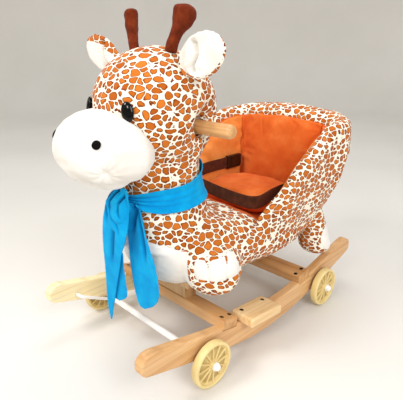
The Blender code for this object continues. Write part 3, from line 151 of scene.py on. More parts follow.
class Surface:
    """A material with a Principled shader, and short calls that add nodes to it."""

    def __init__(self, name, roughness, **sockets):
        self.material = bpy.data.materials.new(name)
        self.material.use_nodes = True
        self.tree = self.material.node_tree
        self.shader = self.tree.nodes["Principled BSDF"]
        self.shader.inputs["Roughness"].default_value = roughness
        for socket, value in sockets.items():
            self.shader.inputs[socket.replace("_", " ")].default_value = value
        self.normal = None

    def node(self, kind, inputs=None, **settings):
        made = self.tree.nodes.new("ShaderNode" + kind)
        for key, value in settings.items():
            setattr(made, key, value)
        for key, value in (inputs or {}).items():
            if isinstance(value, bpy.types.NodeSocket):
                self.tree.links.new(value, made.inputs[key])
            else:
                made.inputs[key].default_value = value
        return made

    def place(self, scale=(1, 1, 1), source="Object"):
        where = self.node("TexCoord").outputs[source]
        return self.node("Mapping", {"Vector": where, "Scale": scale}).outputs["Vector"]

    def noise(self, scale, detail=2, roughness=0.5, at=None, output="Fac"):
        return self.node("TexNoise", {
            "Vector": at or self.place(), "Scale": scale, "Detail": detail,
            "Roughness": roughness}).outputs[output]

    def ramp(self, value, stops):
        made = self.node("ValToRGB", {"Fac": value})
        bands = made.color_ramp.elements
        while len(bands) < len(stops):
            bands.new(0.5)
        for band, (position, tone) in zip(bands, stops):
            band.position = position
            band.color = colour(tone) if isinstance(tone, str) else tone
        return made.outputs["Color"]

    def mix(self, share, first, second, blend="MIX"):
        made = self.node("Mix", {0: share, 6: first, 7: second}, data_type="RGBA", blend_type=blend)
        return made.outputs[2]

    def waves(self, place, scale, distortion, direction):
        return self.node("TexWave", {"Vector": place, "Scale": scale, "Distortion": distortion},
                         bands_direction=direction).outputs["Fac"]

    def vectors(self, operation, inputs):
        return self.node("VectorMath", inputs, operation=operation).outputs["Vector"]

    def held(self, name):
        """The number that the mesh holds by name for each point."""
        return self.node("Attribute", attribute_name=name).outputs["Fac"]

    def passed(self, value, low, high):
        """0 where value is up to low and 1 from high on."""
        return self.node("MapRange", {"Value": value, "From Min": low,
                                      "From Max": high}).outputs["Result"]

    def inside(self, name):
        """1 inside the zone whose signed distance the mesh holds by name, and 0 outside it."""
        return self.passed(self.held(name), -ZONE_EDGE, ZONE_EDGE)

    def bump(self, height, strength, distance):
        made = self.node("Bump", {"Height": height, "Strength": strength, "Distance": distance})
        if self.normal:
            self.tree.links.new(self.normal, made.inputs["Normal"])
        self.normal = made.outputs["Normal"]

    def done(self, base):
        self.tree.links.new(base, self.shader.inputs["Base Color"])
        if self.normal:
            self.tree.links.new(self.normal, self.shader.inputs["Normal"])
        return self.material


# Giraffe print: cells per metre, how far their edges wander, and gap values at which the patch
# darkens towards its edge and ends
PRINT_SCALE = 71
PRINT_STRETCH = (1, 1, 1.35)
PRINT_WANDER = 0.009
PRINT_EDGE = (0.014, 0.05)
PRINT_END = (0.074, 0.086)


def print_place(surface):
    """Object coordinates that are shaken a little, so that no patch has straight sides."""
    wander = surface.noise(90, 2, output="Color")
    centred = surface.vectors("SUBTRACT", {0: wander, 1: (0.5, 0.5, 0.5)})
    moved = surface.vectors("SCALE", {0: centred, "Scale": PRINT_WANDER})
    return surface.vectors("ADD", {0: surface.place(PRINT_STRETCH), 1: moved})


def print_colour(surface):
    """Giraffe print: rounded orange patches with a darker edge on cream."""
    cells = {"Vector": print_place(surface), "Scale": PRINT_SCALE, "Randomness": 0.85}
    near = surface.node("TexVoronoi", cells, feature="F1")
    soft = surface.node("TexVoronoi", dict(cells, Smoothness=0.9), feature="SMOOTH_F1")
    # Small in a patch's middle and large between patches
    gap = surface.node("Math", {0: near.outputs["Distance"], 1: soft.outputs["Distance"]},
                       operation="SUBTRACT").outputs["Value"]
    tone = surface.node("SeparateColor", {"Color": near.outputs["Color"]}).outputs[0]
    fill = surface.mix(tone, colour("#D17626"), colour("#AD5612"))
    patch = surface.mix(surface.passed(gap, *PRINT_EDGE), fill, colour("#702E08"))
    return surface.mix(surface.passed(gap, *PRINT_END), patch, colour("#F8F0DE"))


def plush(name, sheen):
    return Surface(name, 0.92, Sheen_Weight=sheen, Sheen_Roughness=0.5, Specular_IOR_Level=0.15)


def plush_material(name, base, coarse, sheen=0.12):
    """Short pile in the colour that base gives; coarse is the strength of its larger bumps."""
    surface = plush(name, sheen)
    tone = base(surface)
    surface.bump(surface.noise(45, 3), coarse, 0.003)
    surface.bump(surface.noise(520, 4, 0.7), 0.35, 0.0012)
    return surface.done(tone)


def white_tone(surface):
    return surface.ramp(surface.noise(24, 4), [(0.3, "#E4DED5"), (0.65, "#F4F1EC")])


def orange_tone(surface, dark="#D25A1E", middle="#DC6828", light="#E67C3A"):
    cloudy = surface.noise(26, 5, 0.6)
    return surface.ramp(cloudy, [(0.28, dark), (0.5, middle), (0.74, light)])


# Painted light: the side pads get a lighter copy of the lining's orange, standing in for the
# stronger light that falls on them.
def painted_lit_orange_tone(surface):
    return orange_tone(surface, "#DE7832", "#E88A40", "#F09C54")


def ear_tone(surface):
    return surface.mix(surface.inside("white"), print_colour(surface), white_tone(surface))


def skin_tone(surface):
    """Print, with the belly's and paws' white cloth and the seat's orange cloth sewn in."""
    return surface.mix(surface.inside("orange"), ear_tone(surface), orange_tone(surface))


def horn_tone(surface):
    return surface.ramp(surface.noise(60, 5, 0.65),
                        [(0.3, "#501906"), (0.55, "#70290D"), (0.8, "#8A3D17")])


def fleece_material():
    """Blue fleece, with painted shade in the creases of the hanging ends."""
    surface = plush("blue_fleece", 0.02)
    base = surface.ramp(surface.noise(35, 5, 0.6),
                        [(0.25, "#008DD0"), (0.5, "#009FDC"), (0.8, "#14B2E6")])
    surface.bump(surface.noise(300, 4, 0.7), 0.5, 0.001)
    surface.bump(surface.noise(1300, 2, 0.6), 0.3, 0.0005)
    # Painted shade: darker blue where the held fold value marks a crease
    return surface.done(surface.mix(surface.held("fold"), base, colour("#006AA8")))


def webbing_material():
    """Woven strap with fine ribs and a slanting twill, laid out by its UV map."""
    surface = Surface("webbing", 0.55, Sheen_Weight=0.02, Specular_IOR_Level=0.2)
    place = surface.place(source="UV")
    surface.bump(surface.waves(place, 260, 0.6, "Y"), 0.6, 0.0006)
    surface.bump(surface.waves(place, 190, 0.4, "DIAGONAL"), 0.35, 0.0004)
    cloudy = surface.noise(90, 4)
    return surface.done(surface.ramp(cloudy, [(0.3, "#43200F"), (0.6, "#5C2E1B"),
                                              (0.85, "#78442C")]))


def pine_material(name, along, across, light, middle, dark):
    """Varnished board with soft, straight grain along one axis."""
    surface = Surface(name, 0.45, Coat_Weight=0.15, Coat_Roughness=0.35)

    def stretched(share):
        return surface.place([share if axis == along else 1 for axis in "XYZ"])

    streaks = surface.noise(75, 4, 0.55, at=stretched(0.05))
    fibres = surface.noise(1100, 3, 0.6, at=stretched(0.02))
    patches = surface.noise(14, 3, at=stretched(0.3))
    rings = surface.waves(stretched(0.12), 26, 4, across)
    grain = surface.ramp(streaks, [(0.3, dark), (0.47, middle), (0.68, light)])
    lines = surface.ramp(rings, [(0, "#FFFFFF"), (0.8, "#FFFFFF"), (0.97, "#C9A47C")])
    broad = surface.ramp(patches, [(0.3, "#EADCC8"), (0.7, "#FFFFFF")])
    thin = surface.ramp(fibres, [(0.25, "#DDCDB8"), (0.6, "#FFFFFF")])
    base = surface.mix(0.2, surface.mix(0.4, grain, broad, "MULTIPLY"), lines, "MULTIPLY")
    base = surface.mix(0.4, base, thin, "MULTIPLY")
    surface.bump(fibres, 0.12, 0.0004)
    surface.bump(streaks, 0.1, 0.0006)
    return surface.done(base)


def plain_material(name, tone, roughness, speckle=0.1, spread=0.13, **sockets):
    """Moulded or coated surface with a faint unevenness."""
    surface = Surface(name, roughness, **sockets)
    uneven = surface.noise(55, 4)
    pale = [min(c * (1 + spread), 1) for c in colour(tone)]
    deep = [c * (1 - spread) for c in colour(tone)[:3]] + [1]
    surface.bump(surface.noise(700, 2), speckle, 0.0002)
    return surface.done(surface.ramp(uneven, [(0.3, deep), (0.7, pale)]))


# Meshes

def add_object(name, data):
    made = bpy.data.objects.new(name, data)
    bpy.context.scene.collection.objects.link(made)
    return made


def new_object(name, mesh, material):
    mesh.materials.clear()
    mesh.materials.append(material)
    return add_object(name, mesh)


def edit(mesh, change):
    """Lets a function change a mesh by way of a bmesh."""
    work = bmesh.new()
    work.from_mesh(mesh)
    change(work)
    work.to_mesh(mesh)
    work.free()


def face_outward(work):
    bmesh.ops.recalc_face_normals(work, faces=work.faces)


def merge_seams(work):
    bmesh.ops.remove_doubles(work, verts=work.verts, dist=0.00001)


def grid_mesh(name, rows, wrap=False, cap=False):
    """Skin over rows of points of equal count; wrap closes each row, cap closes both ends."""
    count = len(rows[0])
    verts = [tuple(p) for row in rows for p in row]
    faces = []
    across = count if wrap else count - 1
    for r in range(len(rows) - 1):
        for c in range(across):
            d = (c + 1) % count
            faces.append((r * count + c, r * count + d, (r + 1) * count + d, (r + 1) * count + c))
    if cap:
        faces.append(tuple(range(count))[::-1])
        faces.append(tuple((len(rows) - 1) * count + c for c in range(count)))
    mesh = bpy.data.meshes.new(name)
    mesh.from_pydata(verts, [], faces)
    edit(mesh, face_outward)
    return mesh


def turns(count):
    """Angles of even steps round a circle."""
    return [2 * pi * k / count for k in range(count)]


def joined_mesh(name, meshes):
    joined = bmesh.new()
    for mesh in meshes:
        joined.from_mesh(mesh)
    mesh = bpy.data.meshes.new(name)
    joined.to_mesh(mesh)
    joined.free()
    return mesh


def rounded_body(name, point, rings, count, material):
    """A closed skin through point(lean, turn): lean goes from end to end, turn goes round."""
    rows = [[point(pi * (r + 0.5) / rings, turn) for turn in turns(count)] for r in range(rings)]
    piece = new_object(name, grid_mesh(name, rows, wrap=True, cap=True), material)
    piece.data.shade_smooth()
    return piece


def settle(piece, levels=0):
    """Makes a mesh of a piece, its modifiers and some levels of rounding, shaded smooth."""
    if levels:
        modify(piece, "SUBSURF", levels=levels, render_levels=levels)
    view = bpy.context.evaluated_depsgraph_get()
    fresh = bpy.data.meshes.new_from_object(piece.evaluated_get(view))
    piece.modifiers.clear()
    piece.data = fresh
    fresh.shade_smooth()
    return piece


def modify(piece, kind, **settings):
    step = piece.modifiers.new(kind.lower(), kind)
    for key, value in settings.items():
        setattr(step, key, value)
    return step


def move_points(piece, shape, *more):
    """Moves each point to what shape gives for its place and normal."""
    mesh = piece.data
    moved = [shape(v.co.copy(), v.normal.copy(), *more) for v in mesh.vertices]
    for vertex, place in zip(mesh.vertices, moved):
        vertex.co = place
    mesh.update()


def hold_values(piece, name, value, *more):
    """Keeps a number for each point in the mesh, by its place and normal."""
    mesh = piece.data
    held = mesh.attributes.new(name, "FLOAT", "POINT")
    held.data.foreach_set("value", [value(v.co, v.normal, *more) for v in mesh.vertices])


def stuffed(name, nodes, material, voxel, smoothing, grow):
    """A soft skin over one or more CAD nodes, which it stands for."""
    mesh = joined_mesh(name, [NODES[node].data for node in nodes])
    piece = new_object(name, mesh, material)
    modify(piece, "REMESH", mode="VOXEL", voxel_size=voxel)
    modify(piece, "SMOOTH", factor=0.5, iterations=smoothing)
    settle(piece, 1)
    move_points(piece, lambda place, normal: place + normal * grow)
    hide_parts(*nodes)
    return piece


def unevenness(place, size, depth, seed=0.0):
    """Height of soft random waves of a size and a depth."""
    return depth * noise.noise(place / size + Vector((seed, seed, seed)))


def groove(distance, width, depth):
    """Height of a rounded groove at a distance from its middle; below zero inside it."""
    return -depth * exp(-(distance / width) ** 2)


def eased(value, low, high):
    """0 up to low and 1 from high on, with a soft way between."""
    t = min(max((value - low) / (high - low), 0.0), 1.0)
    return t * t * (3 - 2 * t)


def curve(pairs, at):
    """Value at a place on the line that joins pairs."""
    if at <= pairs[0][0]:
        return pairs[0][1]
    for (x0, y0), (x1, y1) in zip(pairs, pairs[1:]):
        if at <= x1:
            t = (at - x0) / (x1 - x0)
            return y0 + (y1 - y0) * t
    return pairs[-1][1]


# Skin of the body, head, legs and seat wall

BELLY_TOP = 0.25
BELLY_SLOPE = 0.3
BELLY_FRONT_Y = -0.085
BELLY_HALF_WIDTH = 0.094
PAW_CENTRE = Vector((0.125, -0.105, 0.175))
PAW_RADIUS = 0.05
PAW_REACH = 0.075
PAW_INNER_X = 0.085
PAW_SPAN = (-19, 118)  # degrees round the paw between which its cloth is white
TOE_SEAMS = (5.0, 56.0)  # degrees round the paw, from straight ahead to the side
HIND_TOP = Vector((0.1166, 0.1965, 0.217))
HIND_RAKE = 0.21
HIND_RADIUS = 0.034
HIND_PATCH_Z = 0.148
HIND_PATCH_HALF_HEIGHT = 0.033
# Seat's rim: distance behind the wheelbase's middle and height above the board, in millimetres
RIM_LINE = metres((
    (-30, 112), (-16, 119), (16, 152), (50, 185), (92.5, 222), (143, 250), (160, 264), (176, 271),
    (215, 275.5), (250, 278)))
RIM_CROWN = 0.0135  # how much higher the rim's middle is than its corners
RIM_ROLL = 0.023
SEAT_MIDDLE = Vector((0, 0.115, 0.33))
LINING_LOW = 0.225  # the walls are upright up to here and lean out above
LINING_HALF_WIDTH = 0.126
LINING_BACK_Y = 0.224 + SHIFT


def belly_distance(place):
    """Signed distance into the white cloth over chest and belly."""
    top = BELLY_TOP - BELLY_SLOPE * abs(place.x) - place.z
    return min(top, BELLY_FRONT_Y - place.y, BELLY_HALF_WIDTH - abs(place.x))


def paw_turn(place):
    """Degrees round a front paw, and how far the point lies from its middle."""
    away = Vector((abs(place.x), place.y, place.z)) - PAW_CENTRE
    return degrees(atan2(away.x, -away.y)), away


def off_paw(place, away):
    return away.length > PAW_REACH or abs(place.x) < PAW_INNER_X


def paw_distance(place):
    """Signed distance into the white cloth over a paw's toes, notched at each toe seam."""
    turn, away = paw_turn(place)
    if off_paw(place, away):
        return -0.02
    top = 0.037 + 0.008 * eased(turn, -15, 70) - away.z
    for seam in TOE_SEAMS:
        top -= 0.015 * exp(-((turn - seam) / 4.0) ** 2)
    low = away.z + 0.001 - 0.01 * eased(turn, 10, 90)
    side = radians(min(turn - PAW_SPAN[0], PAW_SPAN[1] - turn)) * PAW_RADIUS
    return min(top, low, side)


def toe_grooves(place):
    turn, away = paw_turn(place)
    if off_paw(place, away):
        return 0.0
    level = eased(away.z, -0.012, 0.004) * (1 - eased(away.z, 0.036, 0.05))
    return level * sum(groove(radians(turn - seam) * PAW_RADIUS, 0.003, 0.003)
                       for seam in TOE_SEAMS)


def hind_distance(place):
    """Signed distance into the white cloth on a hind foot's outer side."""
    if place.y < 0.15 or place.z > 0.2:
        return -0.02
    middle_y = HIND_TOP.y + HIND_RAKE * (HIND_TOP.z - place.z)
    turn = degrees(atan2(place.y - middle_y, abs(place.x) - HIND_TOP.x))
    height = (place.z - HIND_PATCH_Z) / HIND_PATCH_HALF_HEIGHT
    half = 62 * sqrt(max(1 - height * height, 0.0)) - 8 * height
    return radians(half - abs(turn - 32)) * HIND_RADIUS


def rim_top(place):
    """Height of the seat rim's top at a point's place along it."""
    y = place.y - SHIFT
    back = eased(y, 0.19, 0.24)
    crown = RIM_CROWN * cos(pi / 2 * min(abs(place.x) / 0.15, 1.0))
    return BOARD_Z + curve(RIM_LINE, y) + crown * back


def lining_distance(place):
    """Signed distance into the orange cloth inside the seat."""
    shoulder = rim_top(place) - RIM_ROLL
    level = min(max((place.z - LINING_LOW) / max(shoulder - LINING_LOW, 0.02), 0.0), 1.0)
    front = -0.0113 + 0.0126 * (place.x / 0.0725) ** 2
    return min(LINING_HALF_WIDTH + 0.024 * level - abs(place.x), place.y - front,
               LINING_BACK_Y + 0.036 * level - place.y, place.z - 0.2,
               shoulder + 0.002 - place.z)


def lining_value(place, normal):
    """The lining's signed distance, held down on the wall's outside."""
    outward = normal.dot((place - SEAT_MIDDLE).normalized())
    return lining_distance(place) if outward < 0.35 else -0.02


def white_distance(place, _=None):
    return max(belly_distance(place), paw_distance(place), hind_distance(place))


def handle_creases(place):
    """The head is drawn in round the handle, with folds that run out from there."""
    across, up = place.y - HANDLE_Y, place.z - HANDLE_Z
    away = hypot(across, up)
    if away > 0.1 or place.z < 0.33:
        return 0.0
    turn = atan2(up, across)
    waves = sin(7 * turn + 0.6) + 0.5 * sin(12 * turn + 2.0)
    folds = 0.002 * waves * eased(away, 0.012, 0.026) * exp(-(away / 0.046) ** 2)
    return folds + groove(away, 0.03, 0.012) * eased(abs(place.x), 0.05, 0.08)


def shape_skin(place, normal):
    """Seams between the cloths, folds, and the slight unevenness of the filling."""
    seam = groove(white_distance(place), 0.0022, 0.0014)
    seam += groove(lining_distance(place), 0.0022, 0.0012)
    seam += toe_grooves(place) + handle_creases(place)
    uneven = unevenness(place, 0.045, 0.0016) + unevenness(place, 0.017, 0.0006, 7)
    return place + normal * (seam + uneven)


def build_skin(material):
    nodes = ["torso", "neck", "head", "seat_wall", "left_front_leg", "right_front_leg",
             "left_hind_leg", "right_hind_leg"]
    skin = stuffed("animal_skin", nodes, material, voxel=0.0038, smoothing=4, grow=0.0004)
    move_points(skin, shape_skin)
    hold_values(skin, "white", white_distance)
    hold_values(skin, "orange", lining_value)
    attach(skin, "rocker")


# Face

DOME_RINGS = 17
DOME_TURNS = 32


def own_axes(points):
    """Centre, axes from longest to shortest, and half sizes of a cloud of points."""
    middle = points.mean(axis=0)
    ways = np.linalg.eigh(np.cov((points - middle).T))[1][:, ::-1]
    if np.linalg.det(ways) < 0:
        ways[:, 2] = -ways[:, 2]
    spread = (points - middle) @ ways
    low, high = spread.min(axis=0), spread.max(axis=0)
    return middle + ways @ ((high + low) / 2), ways, (high - low) / 2


def dome(name, node, material):
    """A smooth button over a CAD eye or nostril: its own size, rounded like an egg."""
    centre, ways, half = own_axes(np.array([v.co for v in NODES[node].data.vertices]))

    def point(lean, turn):
        return Vector(centre + ways @ (half * np.array([sin(lean) * cos(turn),
                                                        sin(lean) * sin(turn), cos(lean)])))

    piece = rounded_body(name, point, DOME_RINGS, DOME_TURNS, material)
    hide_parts(node)
    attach(piece, "rocker")


def shape_muzzle(place, normal):
    """The cloth is drawn in under each cheek, with creases running out from there."""
    pucker = Vector((copysign(PUCKER.x, place.x), PUCKER.y, PUCKER.z))
    away = place - pucker
    reach = away.length
    pull = groove(reach, 0.0075, 0.0058)
    if reach < 0.08:
        turn = atan2(away.z, hypot(away.x, away.y) * copysign(1, away.y))
        waves = sin(5 * turn + 0.9) + 0.9 * sin(13 * turn + 2.4)
        fade = eased(reach, 0.003, 0.012) * exp(-(reach / 0.028) ** 2)
        pull += 0.001 * waves * fade
    under = eased(MUZZLE_MIDDLE_Z - place.z, 0.015, 0.05)
    folds = 0.0018 * under * sin(place.x / 0.0085 + 2.5 * sin(place.y / 0.018))
    drawn = -0.003 * under
    return place + normal * (pull + folds + drawn + unevenness(place, 0.04, 0.0015, 3))


def ear_place(side, place):
    """Along and across an ear, from its foot; across grows upwards."""
    way = Vector((EAR_WAY.x * side, EAR_WAY.y, EAR_WAY.z))
    foot = Vector((EAR_FOOT.x * side, EAR_FOOT.y, EAR_FOOT.z))
    up = Vector((-way.z * side, 0, way.x * side)).normalized()
    away = place - foot
    return away.dot(way), away.dot(up)


# The pleat's deep fold, from an ear's lower edge to its upper one: across and along, in millimetres
EAR_PLEAT = metres(((-20.7, 17), (-8.5, 19), (-1, 30), (6, 37), (17, 38.5), (29.8, 34)))
EAR_DIMPLE = (0.035, -0.019)  # along and across


def from_middle(along, across):
    """0 in an ear's middle and 1 at its rim."""
    return hypot((along / EAR_LENGTH - 0.5) * 2, across / EAR_WIDTH * 2)


def shape_ear(place, normal, side):
    """The pleat at an ear's foot: a swell, then a deep fold, and a dimple below it."""
    if normal.y > -0.1:
        return place + normal * unevenness(place, 0.02, 0.0008)
    along, across = ear_place(side, place)
    beyond = along - curve(EAR_PLEAT, across)
    swell = eased(-beyond, -0.001, 0.006) * (1 - eased(-beyond, 0.012, 0.028))
    hollow = groove(beyond - 0.003, 0.0055, 0.0105) * eased(beyond, -0.002, 0.001)
    dimple = groove(dist((along, across), EAR_DIMPLE), 0.0045, 0.003)
    inside = 1 - eased(from_middle(along, across), 0.66, 0.9)
    return place + normal * ((0.0045 * swell + hollow + dimple) * inside
                             + unevenness(place, 0.018, 0.001))


def ear_distance(place, normal, side):
    """Signed distance into the white cloth on an ear's front; the far ear's top is printed."""
    along, across = ear_place(side, place)
    if side > 0:
        limit = 0.98 - 0.1 * eased(-across, -0.005, 0.02)
    else:
        limit = 0.92 - 1.1 * eased(across, 0.006, 0.03)
    inward = (limit - from_middle(along, across)) * EAR_WIDTH / 2
    return min(inward, (-normal.y - 0.15) * 0.006)


def build_ear(name, side, material):
    """An ear with a pleat at its foot; its front is white and its back printed."""
    ear = stuffed(name + "_ear_skin", [name + "_ear"], material,
                  voxel=0.0022, smoothing=3, grow=0.0003)
    hold_values(ear, "white", ear_distance, side)
    move_points(ear, shape_ear, side)
    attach(ear, "rocker")


def build_horn(name, side, material):
    horn = stuffed(name + "_horn_skin", [name + "_horn"], material,
                   voxel=0.0022, smoothing=3, grow=0.0002)
    move_points(horn, shape_horn, side)
    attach(horn, "rocker")


def shape_horn(place, normal, side):
    """A horn's bulb hangs out a little on its outer and rear side."""
    bell = exp(-((place.z - HORN_BULB_Z) / 0.012) ** 2)
    outer = max(normal.dot(Vector((0.8 * side, 0.6, 0))), 0.0)
    return place + normal * (0.0062 * bell * outer + unevenness(place, 0.012, 0.001, 5))


def build_face(white, ear, horn, black, felt):
    muzzle = stuffed("muzzle_skin", ["muzzle"], white, voxel=0.0035, smoothing=5, grow=0.0004)
    move_points(muzzle, shape_muzzle)
    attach(muzzle, "rocker")
    for name, side in SIDES:
        build_ear(name, side, ear)
        build_horn(name, side, horn)
        dome(name + "_eye_dome", name + "_eye", black)
        dome(name + "_nostril_patch", name + "_nostril", felt)


# Scarf

# Height above the board, with the neck's radius in NECK_RADIUS and how far it lies behind NECK_Y
NECK_RADII = ((0.08, 1.32), (0.115, 1.2), (0.145, 1.1), (0.17, 1.04), (0.195, 1.0),
              (0.228, 1.0), (0.246, 1.08), (0.268, 1.195), (0.3, 1.19))
NECK_SHIFTS = ((0.08, 0.017), (0.115, 0.013), (0.145, 0.009), (0.195, 0.001),
               (0.228, -0.001), (0.268, 0.008), (0.3, 0.015))
BAND_CREASES = ((-0.62, -0.45), (-0.12, 0.0), (0.5, 0.42))  # levels at the back and in front


def band_folds(level, front):
    """Creases that run from the knot round the neck and fade towards its back."""
    lift = 0.0018 * front
    for at_back, at_front in BAND_CREASES:
        line = at_back + (at_front - at_back) * front
        lift += groove(level - line, 0.09 + 0.05 * front, 0.0008 + 0.0042 * front ** 2)
    return lift


def band_point(turn, level):
    """Point of the band: turn goes round the neck from its back, level from -1 up to 1."""
    back = (1 + cos(turn)) / 2
    rise = BAND_RISE + BAND_TILT * (2 * back - 1) + BAND_FRONT_RISE * (1 - back) ** 2
    z = rise + curve(BAND_HEIGHTS, back) / 2 * (level + 0.05 * sin(3 * turn + level))
    y = NECK_Y + curve(NECK_SHIFTS, z - BOARD_Z)
    radius = NECK_RADIUS * curve(NECK_RADII, z - BOARD_Z)
    flare = 0.0022 * eased(abs(level), 0.6, 1.0)
    reach = radius + 0.0028 + band_folds(level, 1 - back) + flare
    return Vector((reach * sin(turn), y + reach * cos(turn), z))


def thickened(piece):
    """Gives a cloth its thickness and rounds it."""
    modify(piece, "SOLIDIFY", thickness=CLOTH, offset=0.0)
    return settle(piece, 1)


def build_band(material):
    """The length round the neck, and its area."""
    rows = [[band_point(turn, 2 * i / (BAND_LEVELS - 1) - 1) for i in range(BAND_LEVELS)]
            for turn in turns(BAND_STEPS)]
    mesh = grid_mesh("scarf_wrap", rows + [rows[0]])
    edit(mesh, merge_seams)
    area = sum(p.area for p in mesh.polygons)
    return thickened(new_object("scarf_wrap", mesh, material)), area


def knot_point(lean, turn):
    """Point of the knot under the pointed end, with folds that run over it slantwise."""
    size = sin(lean) * (1 + 0.09 * sin(4 * turn + 3.2 * lean) * sin(lean))
    return KNOT_MIDDLE + Vector((KNOT_RADII[0] * sin(turn) * size,
                                 -KNOT_RADII[1] * cos(turn) * size, KNOT_RADII[2] * cos(lean)))


# Hanging ends: height, left x, right x and y of their rows, in millimetres
POINTED_ROWS = metres((
    (336, 8, 30, -233), (329, -4, 34, -234), (321, -14, 37, -235), (308, -25.5, 38.5, -236),
    (292, -33.5, 37.5, -237), (272, -38, 34.5, -238), (240, -41, 24, -238), (213, -44, 11, -237),
    (185, -45, 2, -236), (160, -46.5, -8, -235), (135, -48.5, -17, -234), (108, -50, -26, -233.5),
    (84, -50, -35, -233), (58, -44, -42, -232.5)))
BEHIND_ROWS = metres((
    (215, -15, 6, -231), (185, -20, 5, -230.5), (155, -26, 7.5, -230), (136, -30, 10, -229.5),
    (125, -31, 9, -229.5), (116, -32, -4, -229), (108, -32, -18, -229)))
ROUNDED_ROWS = metres((
    (306, 8, 33, -219), (287, 5, 43, -217), (260, 3, 53, -216.5), (234, 2, 64, -216),
    (208, 3, 76, -216), (180, 5, 81.5, -215.5), (156, 9, 82, -215), (140, 12.5, 76, -214.5),
    (125, 16.5, 63, -214), (115, 20, 48, -214), (109, 28, 38, -214)))
GATHER = (0.03, 0.32)  # x and z of the point where the cloth is drawn together

# Creases of the hanging ends: width, depth, then x and z of points along each, in millimetres
POINTED_CREASES = metres((
    (2.8, 12, ((10.1, 329.3), (-8.9, 308.7), (-13.2, 292.7), (-7.2, 280.8), (3.7, 270.2),
               (9.8, 259.8), (12, 245))),
    (2.6, 11, ((25.8, 322.9), (14.9, 308.8), (16, 294.4), (23, 280))),
    (4, 7, ((-4, 327), (-23, 308), (-29, 285), (-28, 250))),
    (6, 5, ((-8, 250), (-14, 220), (-23, 180)))))
ROUNDED_CREASES = metres((
    (6.5, 6.5, ((24, 305), (27, 290.5), (16.5, 265.6), (10, 249.1))),
    (5, 5.5, ((34, 298), (43, 265), (48, 225), (48, 190)))))


def crease(x, z, line, width, depth):
    """Depth of a crease along a line through corners, which fades at the line's end."""
    best, share = 1.0, 0.0
    for k, ((x0, z0), (x1, z1)) in enumerate(zip(line, line[1:])):
        reach = (x1 - x0) ** 2 + (z1 - z0) ** 2
        run = min(max(((x - x0) * (x1 - x0) + (z - z0) * (z1 - z0)) / reach, 0.0), 1.0)
        away = hypot(x - x0 - run * (x1 - x0), z - z0 - run * (z1 - z0))
        if away < best:
            best, share = away, (k + run) / (len(line) - 1)
    return groove(best, width, depth) * (1 - eased(share, 0.6, 1.0))


def crease_shade_share(place, _, creases):
    """1 along the bottom of a crease and 0 away from them all; it sets the fleece's painted shade
    there.
    """
    return max([-crease(place.x, place.z, line, width, 1.0) for width, _, line in creases])


def fold_depth(x, z, waves, phase, most):
    """Folds that run down and out from where the cloth is drawn together."""
    away = hypot(x - GATHER[0], z - GATHER[1])
    turn = atan2(x - GATHER[0], GATHER[1] - z)
    growth = eased(away, 0.006, 0.05) * (1 - 0.75 * eased(away, 0.08, 0.2))
    swing = sin(waves * turn + phase) + 0.45 * sin(2.3 * waves * turn + 2.0 * phase)
    return most * growth * swing


def smoothed(rows, passes):
    """Rows with each value averaged with its neighbours', the ends kept."""
    for _ in range(passes):
        inner = [tuple((a + 2 * b + c) / 4 for a, b, c in zip(p, q, r))
                 for p, q, r in zip(rows, rows[1:], rows[2:])]
        rows = [rows[0]] + inner + [rows[-1]]
    return rows


def tail_grid(rows, creases, waves, phase, most, levels=130, columns=64):
    """Points of a hanging end from rows of height, left x, right x and y."""
    fine = []
    for k in range(levels):
        z = rows[0][0] + (rows[-1][0] - rows[0][0]) * k / (levels - 1)
        fine.append((z,) + tuple(curve([(row[0], row[i]) for row in rows[::-1]], z)
                                 for i in range(1, 4)))
    grid = []
    for z, left, right, y in smoothed(fine, 5):
        row = []
        for i in range(columns):
            x = left + (right - left) * i / (columns - 1)
            hem = 1 - 0.6 * (2 * i / (columns - 1) - 1) ** 2
            depth = fold_depth(x, z, waves, phase, most) * hem
            for width, most_deep, line in creases:
                depth -= crease(x, z, line, width, most_deep)
            row.append(Vector((x, y + depth, z)))
        grid.append(row)
    return grid


def over_knot(place):
    """Pushes a point of the pointed end forwards to where it clears the knot."""
    away = Vector(((place.x - KNOT.x - 0.008) / 0.032, (place.z - KNOT.z - 0.002) / 0.029))
    lift = 0.007 * sqrt(max(1 - away.length_squared, 0.0))
    return place - Vector((0, lift, 0))


def tail_piece(name, grids, material):
    """A hanging end of the scarf; returns it with its largest width, length and area."""
    mesh = joined_mesh(name, [grid_mesh(name, grid) for grid in grids])
    area = sum(p.area for p in mesh.polygons)
    main = grids[0]
    middle = len(main[0]) // 2
    length = sum((a[middle] - b[middle]).length for a, b in zip(main, main[1:]))
    width = max(sum((a - b).length for a, b in zip(row, row[1:])) for row in main)
    return thickened(new_object(name, mesh, material)), width, length, area


def build_tails(material):
    """Both hanging ends with their width, length, area and creases."""
    pointed = tail_grid(POINTED_ROWS, POINTED_CREASES, 5.0, 0.4, 0.0026)
    pointed = [[over_knot(p) for p in row] for row in pointed]
    behind = tail_grid(BEHIND_ROWS, (), 6.0, 1.5, 0.0015, levels=30, columns=14)
    rounded = tail_grid(ROUNDED_ROWS, ROUNDED_CREASES, 5.0, 2.4, 0.003)
    return [tail_piece("scarf_pointed_end", [pointed, behind], material) + (POINTED_CREASES,),
            tail_piece("scarf_rounded_end", [rounded], material) + (ROUNDED_CREASES,)]


def build_scarf(material):
    band, band_area = build_band(material)
    knot = rounded_body("scarf_tie", knot_point, KNOT_RINGS, KNOT_TURNS, material)
    pieces = [band, knot]
    for tail, width, length, area, creases in build_tails(material):
        # How much painted shade each point of the fleece gets in the creases
        hold_values(tail, "fold", crease_shade_share, creases)
        pieces.append(tail)
    for piece, node in zip(pieces, ("scarf_band", "scarf_knot",
                                    "scarf_pointed_tail", "scarf_rounded_tail")):
        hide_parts(node)
        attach(piece, "rocker")


# Seat

